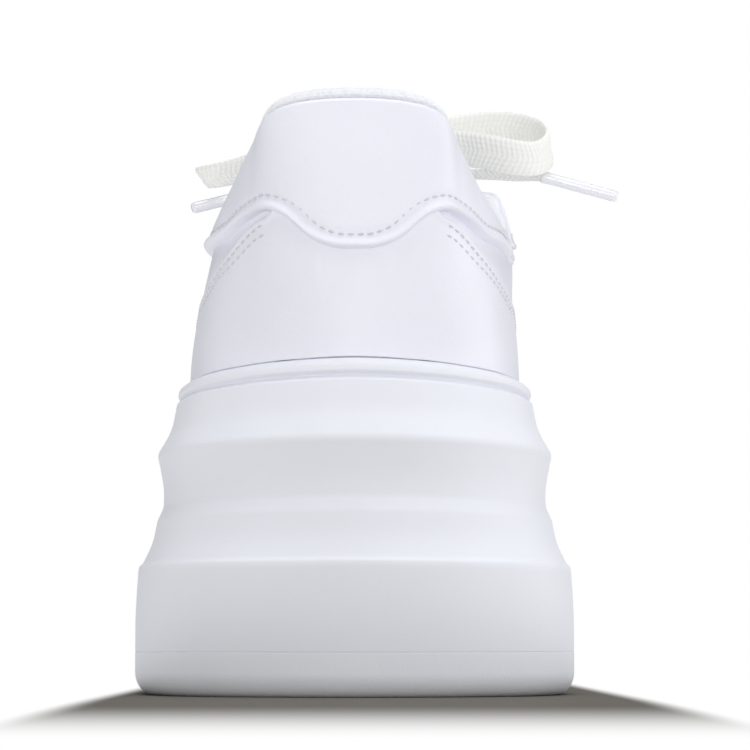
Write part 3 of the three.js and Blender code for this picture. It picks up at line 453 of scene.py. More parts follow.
def resample(line, spacing):
    """The line with evenly spaced points, and how far along it each one lies. What a row holds
    after its first three numbers, such as a direction, goes with it."""
    run = run_of(line[:, :3])
    count = max(2, int(round(run[-1] / spacing)) + 1)
    wanted = np.linspace(0, run[-1], count)
    return np.stack([np.interp(wanted, run, values) for values in line.T], 1), wanted


# ---- the shoe's form

def trace_outline():
    half = lerp(HEEL_WIDTH, BALL_WIDTH, smoothstep(*BALL_BLEND, OUTLINE["along"])) / 2
    points = np.column_stack([OUTLINE["out"] * half, OUTLINE["along"] * SOLE_LENGTH])
    place = np.arange(OUTLINE_STEPS) / OUTLINE_STEPS * len(points)
    i = np.floor(place).astype(int)
    weights = catmull_weights(place - i)
    traced = sum(w[:, None] * points[(i - 1 + k) % len(points)] for k, w in enumerate(weights))
    middle = (traced.max(0) + traced.min(0)) / 2
    return traced - middle, middle


TRACED, MIDDLE = trace_outline()
TOE_STEP = round(int(np.argmax(OUTLINE["along"])) / len(OUTLINE["along"]) * OUTLINE_STEPS)


def outline_lookup():
    """u, the point and the direction out of the shoe at every step of the traced outline."""
    closed = np.vstack([TRACED, TRACED[:1]])
    run = run_of(closed)
    toe, whole = run[TOE_STEP], run[-1]
    u = np.where(run <= toe, run / toe, 1 + (run - toe) / (whole - toe))
    tangent = unit(np.roll(TRACED, -1, 0) - np.roll(TRACED, 1, 0))
    out = np.column_stack([-tangent[:, 1], tangent[:, 0]])
    return u, closed, np.vstack([out, out[:1]])


OUTLINE_U, OUTLINE_POINTS, OUTLINE_OUT = outline_lookup()


def outline(u):
    """The point and the level direction out of the shoe at u, each with z = 0."""
    place = np.mod(u, 2)

    def read(rows):
        level = [np.interp(place, OUTLINE_U, rows[:, axis]) for axis in (0, 1)]
        return np.stack([*level, np.zeros_like(place)], -1)

    return read(OUTLINE_POINTS), read(OUTLINE_OUT)


def base_of(u):
    return 1 - np.abs(1 - np.mod(u, 2))


def side_of(u):
    return np.where(np.mod(u, 2) <= 1, -1.0, 1.0)


def along_of(y):
    return (y + MIDDLE[1]) / SOLE_LENGTH


def toe_spring(along):
    return TOE_SPRING * np.maximum(0, (along - TOE_SPRING_START) / TOE_SPRING_REACH) ** 2


def side_height(along, heel, toe):
    high = heel * SOLE_HEEL_HEIGHT + heel**2.5 * HEEL_KICK * np.exp(-along / HEEL_KICK_REACH)
    return lerp(high, toe * SOLE_TOE_HEIGHT, smoothstep(*SOLE_DROP, along)) + toe_spring(along)


def lip_height(along):
    return side_height(along, 1, 1)


def floor_height(along):
    level = lerp(SOLE_HEEL_HEIGHT, SOLE_TOE_HEIGHT, smoothstep(*SOLE_DROP, along))
    return level + toe_spring(along) - CUP_DEPTH


def instep_shift(along):
    return INSTEP_SHIFT * smoothstep(*INSTEP_BLEND, along)


def upper(u, height):
    """Points on the upper's outside. height is 0 at the sole's lip and 1 at the open edge."""
    u, height = np.broadcast_arrays(np.asarray(u, float), np.asarray(height, float))
    base = base_of(u)
    point, out = outline(u)
    foot = point - out * (SOLE_TAPER + GAP)
    foot[..., 2] = lip_height(along_of(point[..., 1]))
    along = column(EDGE, "along", base)
    collar = COLLAR_HALF_WIDTH * column(EDGE, "collar", base, odd=True)
    throat = THROAT_HALF_WIDTH * column(EDGE, "throat", base, odd=True)
    edge = np.stack([
        instep_shift(along) + side_of(u) * (collar + throat) - MIDDLE[0],
        along * SOLE_LENGTH - MIDDLE[1],
        lip_height(along) + UPPER_RISE * column(EDGE, "rise", base),
    ], -1)
    climb = np.linalg.norm(edge - foot, axis=-1)[..., None]
    flare = np.radians(column(EDGE, "flare", base))[..., None]
    lean = np.radians(column(EDGE, "lean", base))[..., None]
    low = climb * column(EDGE, "low", base)[..., None]
    high = climb * column(EDGE, "high", base)[..., None]
    low = foot + low * (UP * np.cos(flare) + out * np.sin(flare))
    high = edge + high * (out * np.sin(lean) - UP * np.cos(lean))
    h = height[..., None]
    lower = (1 - h) ** 3 * foot + 3 * (1 - h) ** 2 * h * low
    return lower + 3 * (1 - h) * h**2 * high + h**3 * edge


def normal(u, height):
    u, height = np.asarray(u), np.asarray(height, float)
    step, rise = NORMAL_STEPS
    ahead = upper(u + step, height) - upper(u - step, height)
    climb = upper(u, np.minimum(1, height + rise)) - upper(u, np.maximum(0, height - rise))
    return unit(np.cross(climb, ahead))


def fold_relief(points):
    """How deep the leather's soft folds are at these points."""
    relief = np.zeros(points.shape[:-1])
    for places, depth, width in FOLDS:
        spots = np.array(places)
        numbers = np.arange(len(spots))
        steps = np.linspace(0, len(spots) - 1, FOLD_SPOTS)
        turned = np.unwrap(spots[:, 0] * math.pi) / math.pi
        line = upper(np.interp(steps, numbers, turned), np.interp(steps, numbers, spots[:, 1]))
        nearest = np.full(points.shape[:-1], np.inf)
        weight = np.zeros(points.shape[:-1])
        for spot, share in zip(line, np.linspace(0, 1, FOLD_SPOTS)):
            away = np.linalg.norm(points - spot, axis=-1)
            closer = away < nearest
            nearest = np.where(closer, away, nearest)
            weight = np.where(closer, math.sin(math.pi * share) ** 0.5, weight)
        relief -= depth * weight * bell(nearest, 0, width)
        relief += FOLD_BULGE * depth * weight * bell(nearest, FOLD_BULGE_PLACE * width, width)
    return relief


def wave_at(u):
    return column(WAVE, "at", base_of(u))


def counter_at(u):
    return column(COUNTER, "at", base_of(u))


def guard_at(u):
    return column(GUARD, "at", base_of(u))


def quarter_swell(u, height):
    """How far the quarters swell above the heel counter's panel."""
    base, edge = base_of(u), counter_at(u)
    ends = smoothstep(*SWELL_START, base) * (1 - smoothstep(*SWELL_END, base))
    low, high = SWELL_FOOT
    swell = QUARTER_SWELL * ends * smoothstep(edge + low, edge + high, height)
    return swell * (1 - smoothstep(*SWELL_TOP, height))


def skin(u, height, distance):
    """Points a distance outside the upper, with its folds and swells."""
    u, height = np.broadcast_arrays(np.asarray(u, float), np.asarray(height, float))
    points = upper(u, height)
    lift = np.asarray(distance, float) + fold_relief(points) + quarter_swell(u, height)
    return points + normal(u, height) * lift[..., None]


def height_below(u, distance):
    """The height share that lies a distance under the upper's open edge, along its wall."""
    stretch = np.linalg.norm(upper(u, 1 - HEM_SHARE) - upper(u, 1), axis=-1)
    return 1 - HEM_SHARE * distance / stretch


def padding(base):
    """How much of the collar's padding there is: all at the heel and none at the throat."""
    return 1 - smoothstep(*PADDING_END, base)


def wall_at(base, height):
    return lerp(WALL, COLLAR_WALL, padding(base) * smoothstep(*PADDING_RISE, height))


# ---- meshes

def add_object(name, data):
    obj = bpy.data.objects.new(name, data)
    bpy.context.scene.collection.objects.link(obj)
    return obj


def new_mesh(name, points, faces):
    """A mesh from points in millimetres."""
    mesh = bpy.data.meshes.new(name)
    placed = np.asarray(points).reshape(-1, 3) * MM
    mesh.from_pydata(placed.tolist(), [], [list(face) for face in faces])
    mesh.validate()
    return mesh


def shade(mesh, sharp):
    """Smooth shading, with creases where the surface turns by more than an angle."""
    mesh.polygons.foreach_set("use_smooth", np.ones(len(mesh.polygons), bool))
    mesh.set_sharp_from_angle(angle=math.radians(sharp))


def build(name, points, faces, material, slot, replaces=(), sharp=60):
    """A piece of the shoe."""
    mesh = new_mesh(name, points, faces)
    shade(mesh, sharp)
    mesh.materials.append(material)
    obj = add_object(name, mesh)
    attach(obj, "root")
    if replaces:
        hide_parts(*replaces)
    return obj


def wrap_faces(rows, count, closed_rows):
    """Quads between rings of points that close on themselves."""
    faces = []
    for r in range(rows if closed_rows else rows - 1):
        low, high = r * count, ((r + 1) % rows) * count
        i = np.arange(count)
        j = (i + 1) % count
        faces.extend(np.column_stack([low + i, high + i, high + j, low + j]).tolist())
    return faces


def rung_faces(count, start, flip):
    """A cap of rungs from side to side over one ring."""
    faces = []
    for i in range(count // 2):
        corners = list(dict.fromkeys([i, i + 1, count - i - 1, (count - i) % count]))
        faces.append([start + c for c in (corners[::-1] if flip else corners)])
    return faces


def ring_solid(rings):
    """Points and faces of a solid of rings, lowest first, capped at both ends."""
    count = len(rings[0])
    faces = wrap_faces(len(rings), count, False)
    faces += rung_faces(count, 0, True)
    faces += rung_faces(count, (len(rings) - 1) * count, False)
    return np.concatenate(rings), faces


def sleeve_solid(rings):
    """Points and faces of a solid of rings that goes up on one side and down on the other."""
    return np.concatenate(rings), wrap_faces(len(rings), len(rings[0]), True)


def panel_solid(outside, inside):
    """Points and faces between two grids of points."""
    rows, count = outside.shape[:2]
    points = np.concatenate([outside.reshape(-1, 3), inside.reshape(-1, 3)])
    back = rows * count
    index = np.arange(back).reshape(rows, count)
    a, b, c, d = index[:-1, :-1], index[1:, :-1], index[1:, 1:], index[:-1, 1:]
    faces = np.stack([a, b, c, d], -1).reshape(-1, 4).tolist()
    faces += (np.stack([d, c, b, a], -1).reshape(-1, 4) + back).tolist()
    rims = [(index[0], False), (index[-1], True), (index[:, 0], True), (index[:, -1], False)]
    for line, flip in rims:
        for p, q in zip(line[:-1], line[1:]):
            wall = [p, q, back + q, back + p]
            faces.append(wall[::-1] if flip else wall)
    return points, faces


def tube_solid(sections):
    """Points and faces of a tube through sections of as many points, with flat ends."""
    rows, count = sections.shape[:2]
    faces = wrap_faces(rows, count, False)
    faces.append(list(range(count)))
    faces.append([(rows - 1) * count + i for i in range(count)][::-1])
    return sections.reshape(-1, 3), faces


def joined(solids):
    """Points and faces of several solids in one mesh."""
    points, faces, start = [], [], 0
    for solid_points, solid_faces in solids:
        points.append(solid_points)
        faces += [[start + corner for corner in face] for face in solid_faces]
        start += len(solid_points)
    return np.concatenate(points), faces


def cut(obj, solid):
    """Cuts a solid, given as points and faces, out of a piece."""
    cutter = add_object("cutter", new_mesh("cutter", *solid))
    modifier = obj.modifiers.new("cut", "BOOLEAN")
    modifier.operation = "DIFFERENCE"
    modifier.solver = "EXACT"
    modifier.object = cutter
    bpy.context.view_layer.update()
    graph = bpy.context.evaluated_depsgraph_get()
    result = bpy.data.meshes.new_from_object(obj.evaluated_get(graph))
    obj.modifiers.clear()
    whole, obj.data = obj.data, result
    bpy.data.meshes.remove(whole)
    bpy.data.objects.remove(cutter)
    shade(result, CUT_SHARP)


# ---- materials

def put(node, constants):
    """Sets constants on a shader node's sockets."""
    for socket, value in constants.items():
        node.inputs[socket].default_value = value
    return node


def finish(name, color, roughness, specular=0.5):
    """A material, its node tree and its Principled shader."""
    material = bpy.data.materials.new(name)
    material.use_nodes = True
    shader = put(material.node_tree.nodes["Principled BSDF"], {
        "Base Color": (*color, 1), "Roughness": roughness, "Specular IOR Level": specular,
    })
    return material, material.node_tree, shader


def object_place(tree):
    for node in tree.nodes:
        if node.bl_idname == "ShaderNodeTexCoord":
            return node.outputs["Object"]
    return tree.nodes.new("ShaderNodeTexCoord").outputs["Object"]


def noise(tree, scale, detail, roughness=0.5):
    node = put(tree.nodes.new("ShaderNodeTexNoise"), {
        "Scale": scale, "Detail": detail, "Roughness": roughness,
    })
    tree.links.new(object_place(tree), node.inputs["Vector"])
    return node.outputs["Fac"]


def calculate(tree, kind, operation, values):
    """The outputs of a math node. Each value is a constant or another node's output."""
    node = tree.nodes.new(kind)
    node.operation = operation
    for socket, value in zip(node.inputs, values):
        if isinstance(value, (int, float, tuple)):
            socket.default_value = value
        else:
            tree.links.new(value, socket)
    return node.outputs


def math_node(tree, operation, *values):
    return calculate(tree, "ShaderNodeMath", operation, values)["Value"]


def vector_node(tree, operation, *values, output="Vector"):
    return calculate(tree, "ShaderNodeVectorMath", operation, values)[output]


def bump(tree, height, depth, under=None):
    """A bump whose full height is depth, in millimetres."""
    node = put(tree.nodes.new("ShaderNodeBump"), {"Strength": 1.0, "Distance": depth * MM})
    tree.links.new(height, node.inputs["Height"])
    if under is not None:
        tree.links.new(under, node.inputs["Normal"])
    return node.outputs["Normal"]


def tone(tree, shader, value, low, high, color, darkest):
    """Colours the shader: the darkest share of the colour where value is low, all of it where
    value is high."""
    share = put(tree.nodes.new("ShaderNodeMapRange"), {"From Min": low, "From Max": high})
    tree.links.new(value, share.inputs["Value"])
    mix = tree.nodes.new("ShaderNodeMix")
    mix.data_type = "RGBA"
    put(mix, {"A": (*(c * darkest for c in color), 1), "B": (*color, 1)})
    tree.links.new(share.outputs["Result"], mix.inputs["Factor"])
    tree.links.new(mix.outputs["Result"], shader.inputs["Base Color"])


def leather_finish(name, color):
    """White leather with a fine pebbled grain, small pores and slow changes of tone."""
    material, tree, shader = finish(name, color, 0.46)
    put(shader, {"Coat Weight": 0.08, "Coat Roughness": 0.35})
    cells = tree.nodes.new("ShaderNodeTexVoronoi")
    cells.feature = "SMOOTH_F1"
    put(cells, {"Scale": 900, "Smoothness": 0.6})
    tree.links.new(object_place(tree), cells.inputs["Vector"])
    fine = noise(tree, 2600, 3)
    pebbles = bump(tree, math_node(tree, "ADD", cells.outputs["Distance"], fine), GRAIN_DEPTH)
    slow = noise(tree, 42, 2)
    tree.links.new(bump(tree, slow, WAVINESS_DEPTH, pebbles), shader.inputs["Normal"])
    tone(tree, shader, slow, 0.35, 0.65, color, 0.965)
    rough = put(tree.nodes.new("ShaderNodeMapRange"), {"To Min": 0.4, "To Max": 0.56})
    tree.links.new(noise(tree, 160, 3), rough.inputs["Value"])
    tree.links.new(rough.outputs["Result"], shader.inputs["Roughness"])
    return material


def moulded_finish(name, color, roughness, scale, depth):
    """Moulded foam or rubber: a fine even texture, with slow changes of tone."""
    material, tree, shader = finish(name, color, roughness, 0.4)
    fine = noise(tree, scale, 4, 0.6)
    tree.links.new(bump(tree, fine, depth), shader.inputs["Normal"])
    tone(tree, shader, noise(tree, 30, 3), 0.3, 0.7, color, 0.97)
    return material


def textile_finish(name, color):
    """A soft knitted lining, with painted shade in the knit's pits."""
    material, tree, shader = finish(name, color, 0.9, 0.2)
    put(shader, {"Sheen Weight": 0.25})
    cells = put(tree.nodes.new("ShaderNodeTexVoronoi"), {"Scale": 1100})
    tree.links.new(object_place(tree), cells.inputs["Vector"])
    tree.links.new(bump(tree, cells.outputs["Distance"], KNIT_DEPTH), shader.inputs["Normal"])
    # painted shade: the knit's pits, where the bump is low, are coloured darker
    tone(tree, shader, cells.outputs["Distance"], 0.0, 0.6, color, 0.9)
    return material


def lace_finish(name, color):
    """A flat woven lace: chevrons along both halves, fine yarns and painted shade in the weave's
    grooves.
    """
    material, tree, shader = finish(name, color, 0.85, 0.2)
    put(shader, {"Sheen Weight": 0.2})
    place = tree.nodes.new("ShaderNodeUVMap")
    place.uv_map = "lace"
    split = tree.nodes.new("ShaderNodeSeparateXYZ")
    tree.links.new(place.outputs["UV"], split.inputs["Vector"])
    across = math_node(tree, "ABSOLUTE", split.outputs["Y"])
    slanted = math_node(tree, "MULTIPLY_ADD", across, WEAVE_SLANT, split.outputs["X"])
    chevron = math_node(tree, "SINE",
                        math_node(tree, "MULTIPLY", slanted, 2 * math.pi / WEAVE_PITCH))
    rib = math_node(tree, "SINE", math_node(tree, "MULTIPLY", across, 2 * math.pi * WEAVE_RIBS))
    height = math_node(tree, "ADD", chevron, math_node(tree, "MULTIPLY", rib, 0.4))
    yarns = bump(tree, noise(tree, 2200, 3), YARN_DEPTH)
    tree.links.new(bump(tree, height, WEAVE_DEPTH, yarns), shader.inputs["Normal"])
    # painted shade: the weave's grooves, where its height is low, are coloured darker
    tone(tree, shader, height, -1.0, 0.7, color, 0.945)
    return material


def film_finish(name):
    """The clear film of an aglet, over the white lace."""
    material, tree, shader = finish(name, (0.86, 0.86, 0.9), 0.22)
    put(shader, {"Coat Weight": 0.6, "Coat Roughness": 0.12})
    tree.links.new(bump(tree, noise(tree, 600, 2), FILM_DEPTH), shader.inputs["Normal"])
    return material


LEATHER = leather_finish("white_leather", (0.81, 0.82, 0.895))
PANEL_LEATHER = leather_finish("white_leather_panels", (0.825, 0.83, 0.9))
LINING = textile_finish("lining_textile", (0.84, 0.85, 0.88))
FOAM = moulded_finish("white_foam", (0.825, 0.838, 0.893), 0.62, 2400, 0.03)
RUBBER = moulded_finish("white_rubber", (0.815, 0.828, 0.88), 0.6, 1500, 0.04)
# real thread, with painted shade: it is a darker grey than the leather, standing in for the shade
# in the stitch holes
THREAD_WITH_PAINTED_SHADE = moulded_finish("thread_with_painted_shade", (0.66, 0.67, 0.71), 0.8, 4000, 0.05)
LACE = lace_finish("woven_lace", (0.93, 0.93, 0.895))
FILM = film_finish("aglet_film")


# ---- sole

U_RING = np.arange(COLUMNS) * 2 / COLUMNS
RING_POINTS, RING_OUT = outline(U_RING)
RING_ALONG = along_of(RING_POINTS[:, 1])


def sole_ring(inset, height):
    """A ring round the shoe, inset from the sole's widest line."""
    ring = RING_POINTS - RING_OUT * np.reshape(inset, (-1, 1))
    ring[:, 2] = height
    return ring


def rounded_profile(corners, soft):
    """A profile of corners [ring][place][inset, height] with each inner corner rounded."""
    rows = [corners[0]]
    for before, here, after, reach in zip(corners, corners[1:], corners[2:], soft[1:]):
        ends = []
        for away in (before - here, after - here):
            length = np.linalg.norm(away, axis=-1, keepdims=True)
            ends.append(here + away / length * np.minimum(reach, LARGEST_ROUND * length))
        start, end = ends
        for t in np.linspace(0, 1, ROUND_STEPS):
            rows.append((1 - t) ** 2 * start + 2 * t * (1 - t) * here + t * t * end)
    rows.append(corners[-1])
    return rows


def make_midsole():
    foot = toe_spring(RING_ALONG) + OUTSOLE_THICKNESS
    inner = SOLE_TAPER + CUP_SETBACK
    rows = [(PARTING, foot, 0), (0, foot + PARTING, PARTING)]
    for heel, toe, inset, soft in zip(*BANDS.values()):
        rows.append((inset * SOLE_TAPER, side_height(RING_ALONG, heel, toe), soft))
    rows.append((inner, lip_height(RING_ALONG) - LIP_DROP, LIP_ROUND))
    rows.append((inner, floor_height(RING_ALONG), 0))
    corners = [np.stack([0 * RING_ALONG + inset, height], -1) for inset, height, _ in rows]
    profile = rounded_profile(corners, [soft for *_, soft in rows])
    rings = [sole_ring(row[:, 0], row[:, 1]) for row in profile]
    build("midsole_foam", *ring_solid(rings), FOAM, "midsole", ["midsole"])


def groove(y, low, high):
    """The form that cuts one wavy groove across the tread, from x = low to x = high."""
    x = np.linspace(-BALL_WIDTH, BALL_WIDTH, GROOVE_STEPS) / GROOVE_SPAN
    wave = -TREAD_WAVE / 2 * np.cos(6 * math.pi * (x / (BALL_WIDTH * WAVE_SPAN) + 0.5))
    half = TREAD_GROOVE / 2
    corners = [(-half, -1), (-half, TREAD_DEPTH), (half, TREAD_DEPTH), (half, -1)]
    sections = np.stack([np.stack([x, y + wave + ahead, 0 * x + up], -1)
                         for ahead, up in corners], 1)
    kept = sections[(x > low) & (x < high)]
    kept[:, :, 2] += toe_spring(along_of(kept[:, :, 1]))
    kept[:, [0, 3], 2] -= 2
    return tube_solid(kept)


def make_outsole():
    ground = toe_spring(RING_ALONG)
    rings = []
    for angle in np.linspace(0, math.pi / 2, EDGE_STEPS):
        inset = EDGE_ROUND * (1 - math.sin(angle)) * EDGE_LEAN
        rings.append(sole_ring(inset, ground + EDGE_ROUND * (1 - math.cos(angle))))
    rings.append(sole_ring(0, ground + (OUTSOLE_THICKNESS - PARTING)))
    rings.append(sole_ring(PARTING, ground + OUTSOLE_THICKNESS))
    slab = build("outsole_rubber", *ring_solid(rings), RUBBER, "outsole", ["outsole"],
                 sharp=CUT_SHARP)
    point, out = outline(np.linspace(0, 2, BORDER_STEPS))
    border = point - out * TREAD_BORDER
    reach = SOLE_LENGTH / 2 - TREAD_BORDER
    y = -reach + TREAD_PITCH
    grooves = []
    while y < reach - TREAD_PITCH / 2:
        nearby = border[np.abs(border[:, 1] - y) < TREAD_PITCH / 2]
        grooves.append(groove(y, nearby[:, 0].min(), nearby[:, 0].max()))
        y += TREAD_PITCH
    cut(slab, joined(grooves))


def make_insole():
    inset = SOLE_TAPER + GAP + WALL + GAP
    floor = floor_height(RING_ALONG)
    top = GAP + INSOLE_THICKNESS
    rings = [sole_ring(inset + extra, floor + (GAP + rise)) for extra, rise in INSOLE_FOOT]
    rings += [sole_ring(inset + extra, floor + (top - drop)) for extra, drop in INSOLE_TOP]
    build("insole_textile", *ring_solid(rings), LINING, "insole", ["insole"])


# ---- upper

def skirt_ring(distance):
    """The upper's lowest edge, on the cup's floor."""
    return sole_ring(SOLE_TAPER + GAP + distance, floor_height(RING_ALONG) + GAP)


def make_leather():
    """The leather wall, with its top edge rounded."""
    rings = [skirt_ring(0)]
    heights = np.linspace(0, 1, LEATHER_ROWS)
    rings += [skin(U_RING, height, 0) for height in heights[:-1]]
    for angle in np.linspace(0, math.pi, 9):
        ring = skin(U_RING, 1.0, -(LEATHER_THICKNESS / 2 * (1 - math.cos(angle))))
        rings.append(ring + UP * LEATHER_THICKNESS / 2 * (math.sin(angle) - 1))
    rings += [skin(U_RING, height, -LEATHER_THICKNESS) for height in heights[-4:0:-6]]
    rings.append(skirt_ring(LEATHER_THICKNESS))
    return build("upper_leather", *sleeve_solid(rings), LEATHER, "upper", ["upper"])


def make_lining():
    """The padded lining, which rolls over the leather's edge."""
    base = base_of(U_RING)
    padded = padding(base)
    wall = lerp(WALL + THIN_LINING, COLLAR_WALL, padded)
    back = LEATHER_THICKNESS + LINING_BACK
    rings = [skirt_ring(back)]
    rings += [skin(U_RING, height, -back) for height in np.linspace(0.05, 0.955, 14)]
    rings.append(skin(U_RING, 0.975, -LEATHER_THICKNESS + 0.35 * padded))
    brow = lerp(-LEATHER_THICKNESS, LINING_BROW, padded)
    for angle in np.linspace(0.0, math.pi, 15):
        ring = skin(U_RING, 1.0, (brow - wall) / 2 + (brow + wall) / 2 * math.cos(angle))
        ring[:, 2] += lerp(THIN_ROLL, COLLAR_ROLL, padded) * math.sin(angle) ** 0.7
        rings.append(ring)
    for height in np.linspace(0.97, 0.0, 60):
        depth = wall_at(base, height) + THIN_LINING * (1 - padded)
        swell = math.sin(math.pi * min(1, (1 - height) / PUFF_REACH)) * (1 - height < PUFF_REACH)
        rings.append(skin(U_RING, height, -depth - PUFF * padded * swell))
    rings.append(skirt_ring(WALL + LINING_FOOT))
    return build("collar_lining", *sleeve_solid(rings), LINING, "upper", ["upper"])


def edge_rows(length):
    """Shares of the way from a panel's lower edge to its upper edge, dense at both."""
    first = FINE_ROWS[-1] + COARSE_ROWS
    inner = np.arange(first, max(first, length - FINE_ROWS[-1]), COARSE_ROWS)
    low = np.array(FINE_ROWS)
    shares = np.concatenate([low, inner, length - low[::-1]]) / length
    return np.unique(np.clip(shares, 0, 1))


def panel(name, node, u, low, high, profile, length):
    """A leather panel on the upper, from the heights low to high at u and about as long as
    length between them. profile gives how far it stands out, from the distances to its lower
    and upper edges and the base."""
    heights = low + (high - low) * edge_rows(length)[:, None]
    grid_u = np.broadcast_to(u, heights.shape)
    centre = upper(grid_u, heights)
    climb = np.linalg.norm(np.diff(centre, axis=0), axis=-1)
    from_low = np.vstack([np.zeros(len(u)), np.cumsum(climb, axis=0)])
    lift = profile(from_low, from_low[-1] - from_low, base_of(grid_u))
    run = run_of(centre[len(centre) // 2])
    ends = edge_round(np.minimum(run, run[-1] - run), PANEL_END_ROUND)
    lift = np.minimum(lift, (lift + PANEL_SINK) * ends - PANEL_SINK)
    outside = skin(grid_u, heights, lift)
    depth, thickness = PANEL_BACK
    inside = skin(grid_u, heights, np.minimum(-depth, lift - thickness))
    return build(name, *panel_solid(outside, inside), PANEL_LEATHER, "overlays", [node], sharp=50)


def tab_profile(from_low, from_high, base):
    """A rolled lower edge, which grows thin towards the throat, and a groove for the stitches."""
    lift = COLLAR_OVERLAY * edge_round(from_low, TAB_EDGE_ROUND)
    lift = lift + ROLLED_EDGE * bell(from_low, 0.95, 0.75) * edge_round(from_low, 0.6)
    lift = lift - STITCH_GROOVE * bell(from_low, TAB_STITCH, 0.8)
    thin = 1 - TAB_THINNING * smoothstep(*TAB_THIN_FROM, base)
    return (lift * thin + PANEL_SINK) * edge_round(from_high, TAB_TOP_ROUND) - PANEL_SINK


def flat_profile(from_low, from_high, _):
    """A flat panel with a raised and stitched upper edge, tucked in at the sole."""
    top = edge_round(from_high, PANEL_ROUND)
    lift = (OVERLAY + PANEL_SINK) * top * edge_round(from_low, PANEL_FOOT_ROUND)
    lift = lift - SEAM_DEPTH * bell(from_high, SEAM_INSET, SEAM_WIDTH)
    return lift + RAISED_EDGE * bell(from_high, 0.9, 0.8) * top - PANEL_SINK


def stay_profile(from_low, from_high, _):
    """A flat panel, stitched along both edges."""
    rounds = edge_round(from_low, PANEL_ROUND), edge_round(from_high, STAY_TOP_ROUND)
    lift = (OVERLAY + PANEL_SINK) * rounds[0] * rounds[1]
    lift = lift - SEAM_DEPTH * bell(from_low, SEAM_INSET, SEAM_WIDTH)
    return lift - PANEL_SINK - SEAM_DEPTH * bell(from_high, SEAM_INSET, SEAM_WIDTH)


def make_panels():
    u = np.linspace(-COLLAR_OVERLAY_END, COLLAR_OVERLAY_END, 420)
    panel("collar_tab", "collar_overlay", u, wave_at(u), height_below(u, TAB_SETBACK),
          tab_profile, 40)
    u = np.linspace(-COUNTER_END, COUNTER_END, 400)
    hidden = UNDER_WAVE * (1 - smoothstep(*UNDER_WAVE_END, base_of(u)))
    top = np.minimum(counter_at(u) + hidden, wave_at(u) + UNDER_TAB)
    panel("heel_panel", "heel_counter", u, 0 * u, top, flat_profile, 40)
    u = np.linspace(GUARD_START, 2 - GUARD_START, 380)
    panel("toe_guard_panel", "toe_guard", u, 0 * u, guard_at(u), flat_profile, 22)
    u = np.linspace(EYESTAY_START, 2 - EYESTAY_START, 460)
    return panel("lace_stay", "eyestay", u, height_below(u, EYESTAY_WIDTH),
                 height_below(u, STAY_SETBACK), stay_profile, 17)


# ---- stitches

def stitches(name, rows):
    """Threads along rows of (u, height, lift): small sunk tubes with thin ends."""
    cos, sin = circle(6)
    reach = np.linspace(-0.5, 0.5, 5)[:, None, None] * STITCH_LENGTH
    swell = np.sin(np.linspace(0.12, math.pi - 0.12, 5)) ** 0.6
    radius = swell[:, None, None] * STITCH_RADIUS
    solids = []
    for u, height, lift in rows:
        line = np.hstack([skin(u, height, lift), normal(u, height)])
        placed, _ = resample(line, STITCH_PITCH)
        facing = unit(placed[1:-1, 3:])
        heading = unit(placed[2:, :3] - placed[:-2, :3])
        side = unit(np.cross(facing, heading))
        for c, f, h, s in zip(placed[1:-1, :3], facing, heading, side):
            solids.append(tube_solid(c + reach * h + radius * (cos * s + sin * f)))
    build(name, *joined(solids), THREAD_WITH_PAINTED_SHADE, "overlays", sharp=180)


def parallel(u, height, distance):
    """A row that runs a distance to the upper side of another, square to it."""
    line = upper(u, height)
    heading = unit(np.gradient(line, axis=0))
    across = unit(np.cross(heading, normal(u, height)))
    up = unit(upper(u, height + 0.01) - line)
    across *= np.sign(np.sum(across * up, -1, keepdims=True))
    delta = across * distance
    step = 0.002
    du = (upper(u + step, height) - upper(u - step, height)) / (2 * step)
    dh = (upper(u, height + step) - upper(u, height - step)) / (2 * step)
    a11, a12, a22 = np.sum(du * du, -1), np.sum(du * dh, -1), np.sum(dh * dh, -1)
    b1, b2 = np.sum(delta * du, -1), np.sum(delta * dh, -1)
    det = a11 * a22 - a12 * a12
    return u + (b1 * a22 - b2 * a12) / det, height + (b2 * a11 - b1 * a12) / det


def make_stitches():
    lift = OVERLAY - STITCH_SINK
    reach = COLLAR_OVERLAY_END - STITCH_ENDS["tab"]
    u = np.linspace(-reach, reach, 900)
    groove_lift = COLLAR_OVERLAY - STITCH_GROOVE + 0.1
    rows = [(*parallel(u, wave_at(u), TAB_STITCH), groove_lift)]

    def double_row(u, edge, distances, top_of):
        """Rows along an edge, left out below STITCH_FOOT and above top_of."""
        for distance in distances:
            row_u, row_height = parallel(u, edge, distance)
            keep = (row_height > STITCH_FOOT) & (row_height < top_of(row_u))
            rows.append((row_u[keep], row_height[keep], lift))

    for side in (-1, 1):
        end = COUNTER_END - STITCH_ENDS["counter"]
        u = np.linspace(side * COUNTER_STITCH_START, side * end, 520)
        double_row(u, counter_at(u), COUNTER_STITCHES, lambda u: wave_at(u) - 0.02)
    start = GUARD_START + STITCH_ENDS["guard"]
    u = np.linspace(start, 2 - start, 900)
    double_row(u, guard_at(u), GUARD_STITCHES, lambda u: 1)
    start = EYESTAY_START + STITCH_ENDS["stay"]
    u = np.linspace(start, 2 - start, 900)
    for distance in (EYESTAY_WIDTH - SEAM_INSET, STAY_STITCH):
        rows.append((u, height_below(u, distance), lift))
    stitches("panel_stitches", rows)


# ---- tongue

def tongue_over(base, share):
    """The tongue's top side at one base: nine points from wing to wing."""
    def under(u, distance):
        height = height_below(u, distance)
        return skin(u, height, -wall_at(base, height) - TONGUE_CLEARANCE)

    wings = [TONGUE_WING, TONGUE_WING / 2, 0]
    outer = [under(np.array(base), distance) for distance in wings]
    inner = [under(np.array(2 - base), distance) for distance in wings[::-1]]
    crown = (outer[2] + inner[0]) / 2 + UP * TONGUE_CROWN * share
    left, right = [(edge + crown) / 2 + UP * TONGUE_SHOULDER * share
                   for edge in (outer[2], inner[0])]
    return np.array([*outer, left, crown, right, *inner])


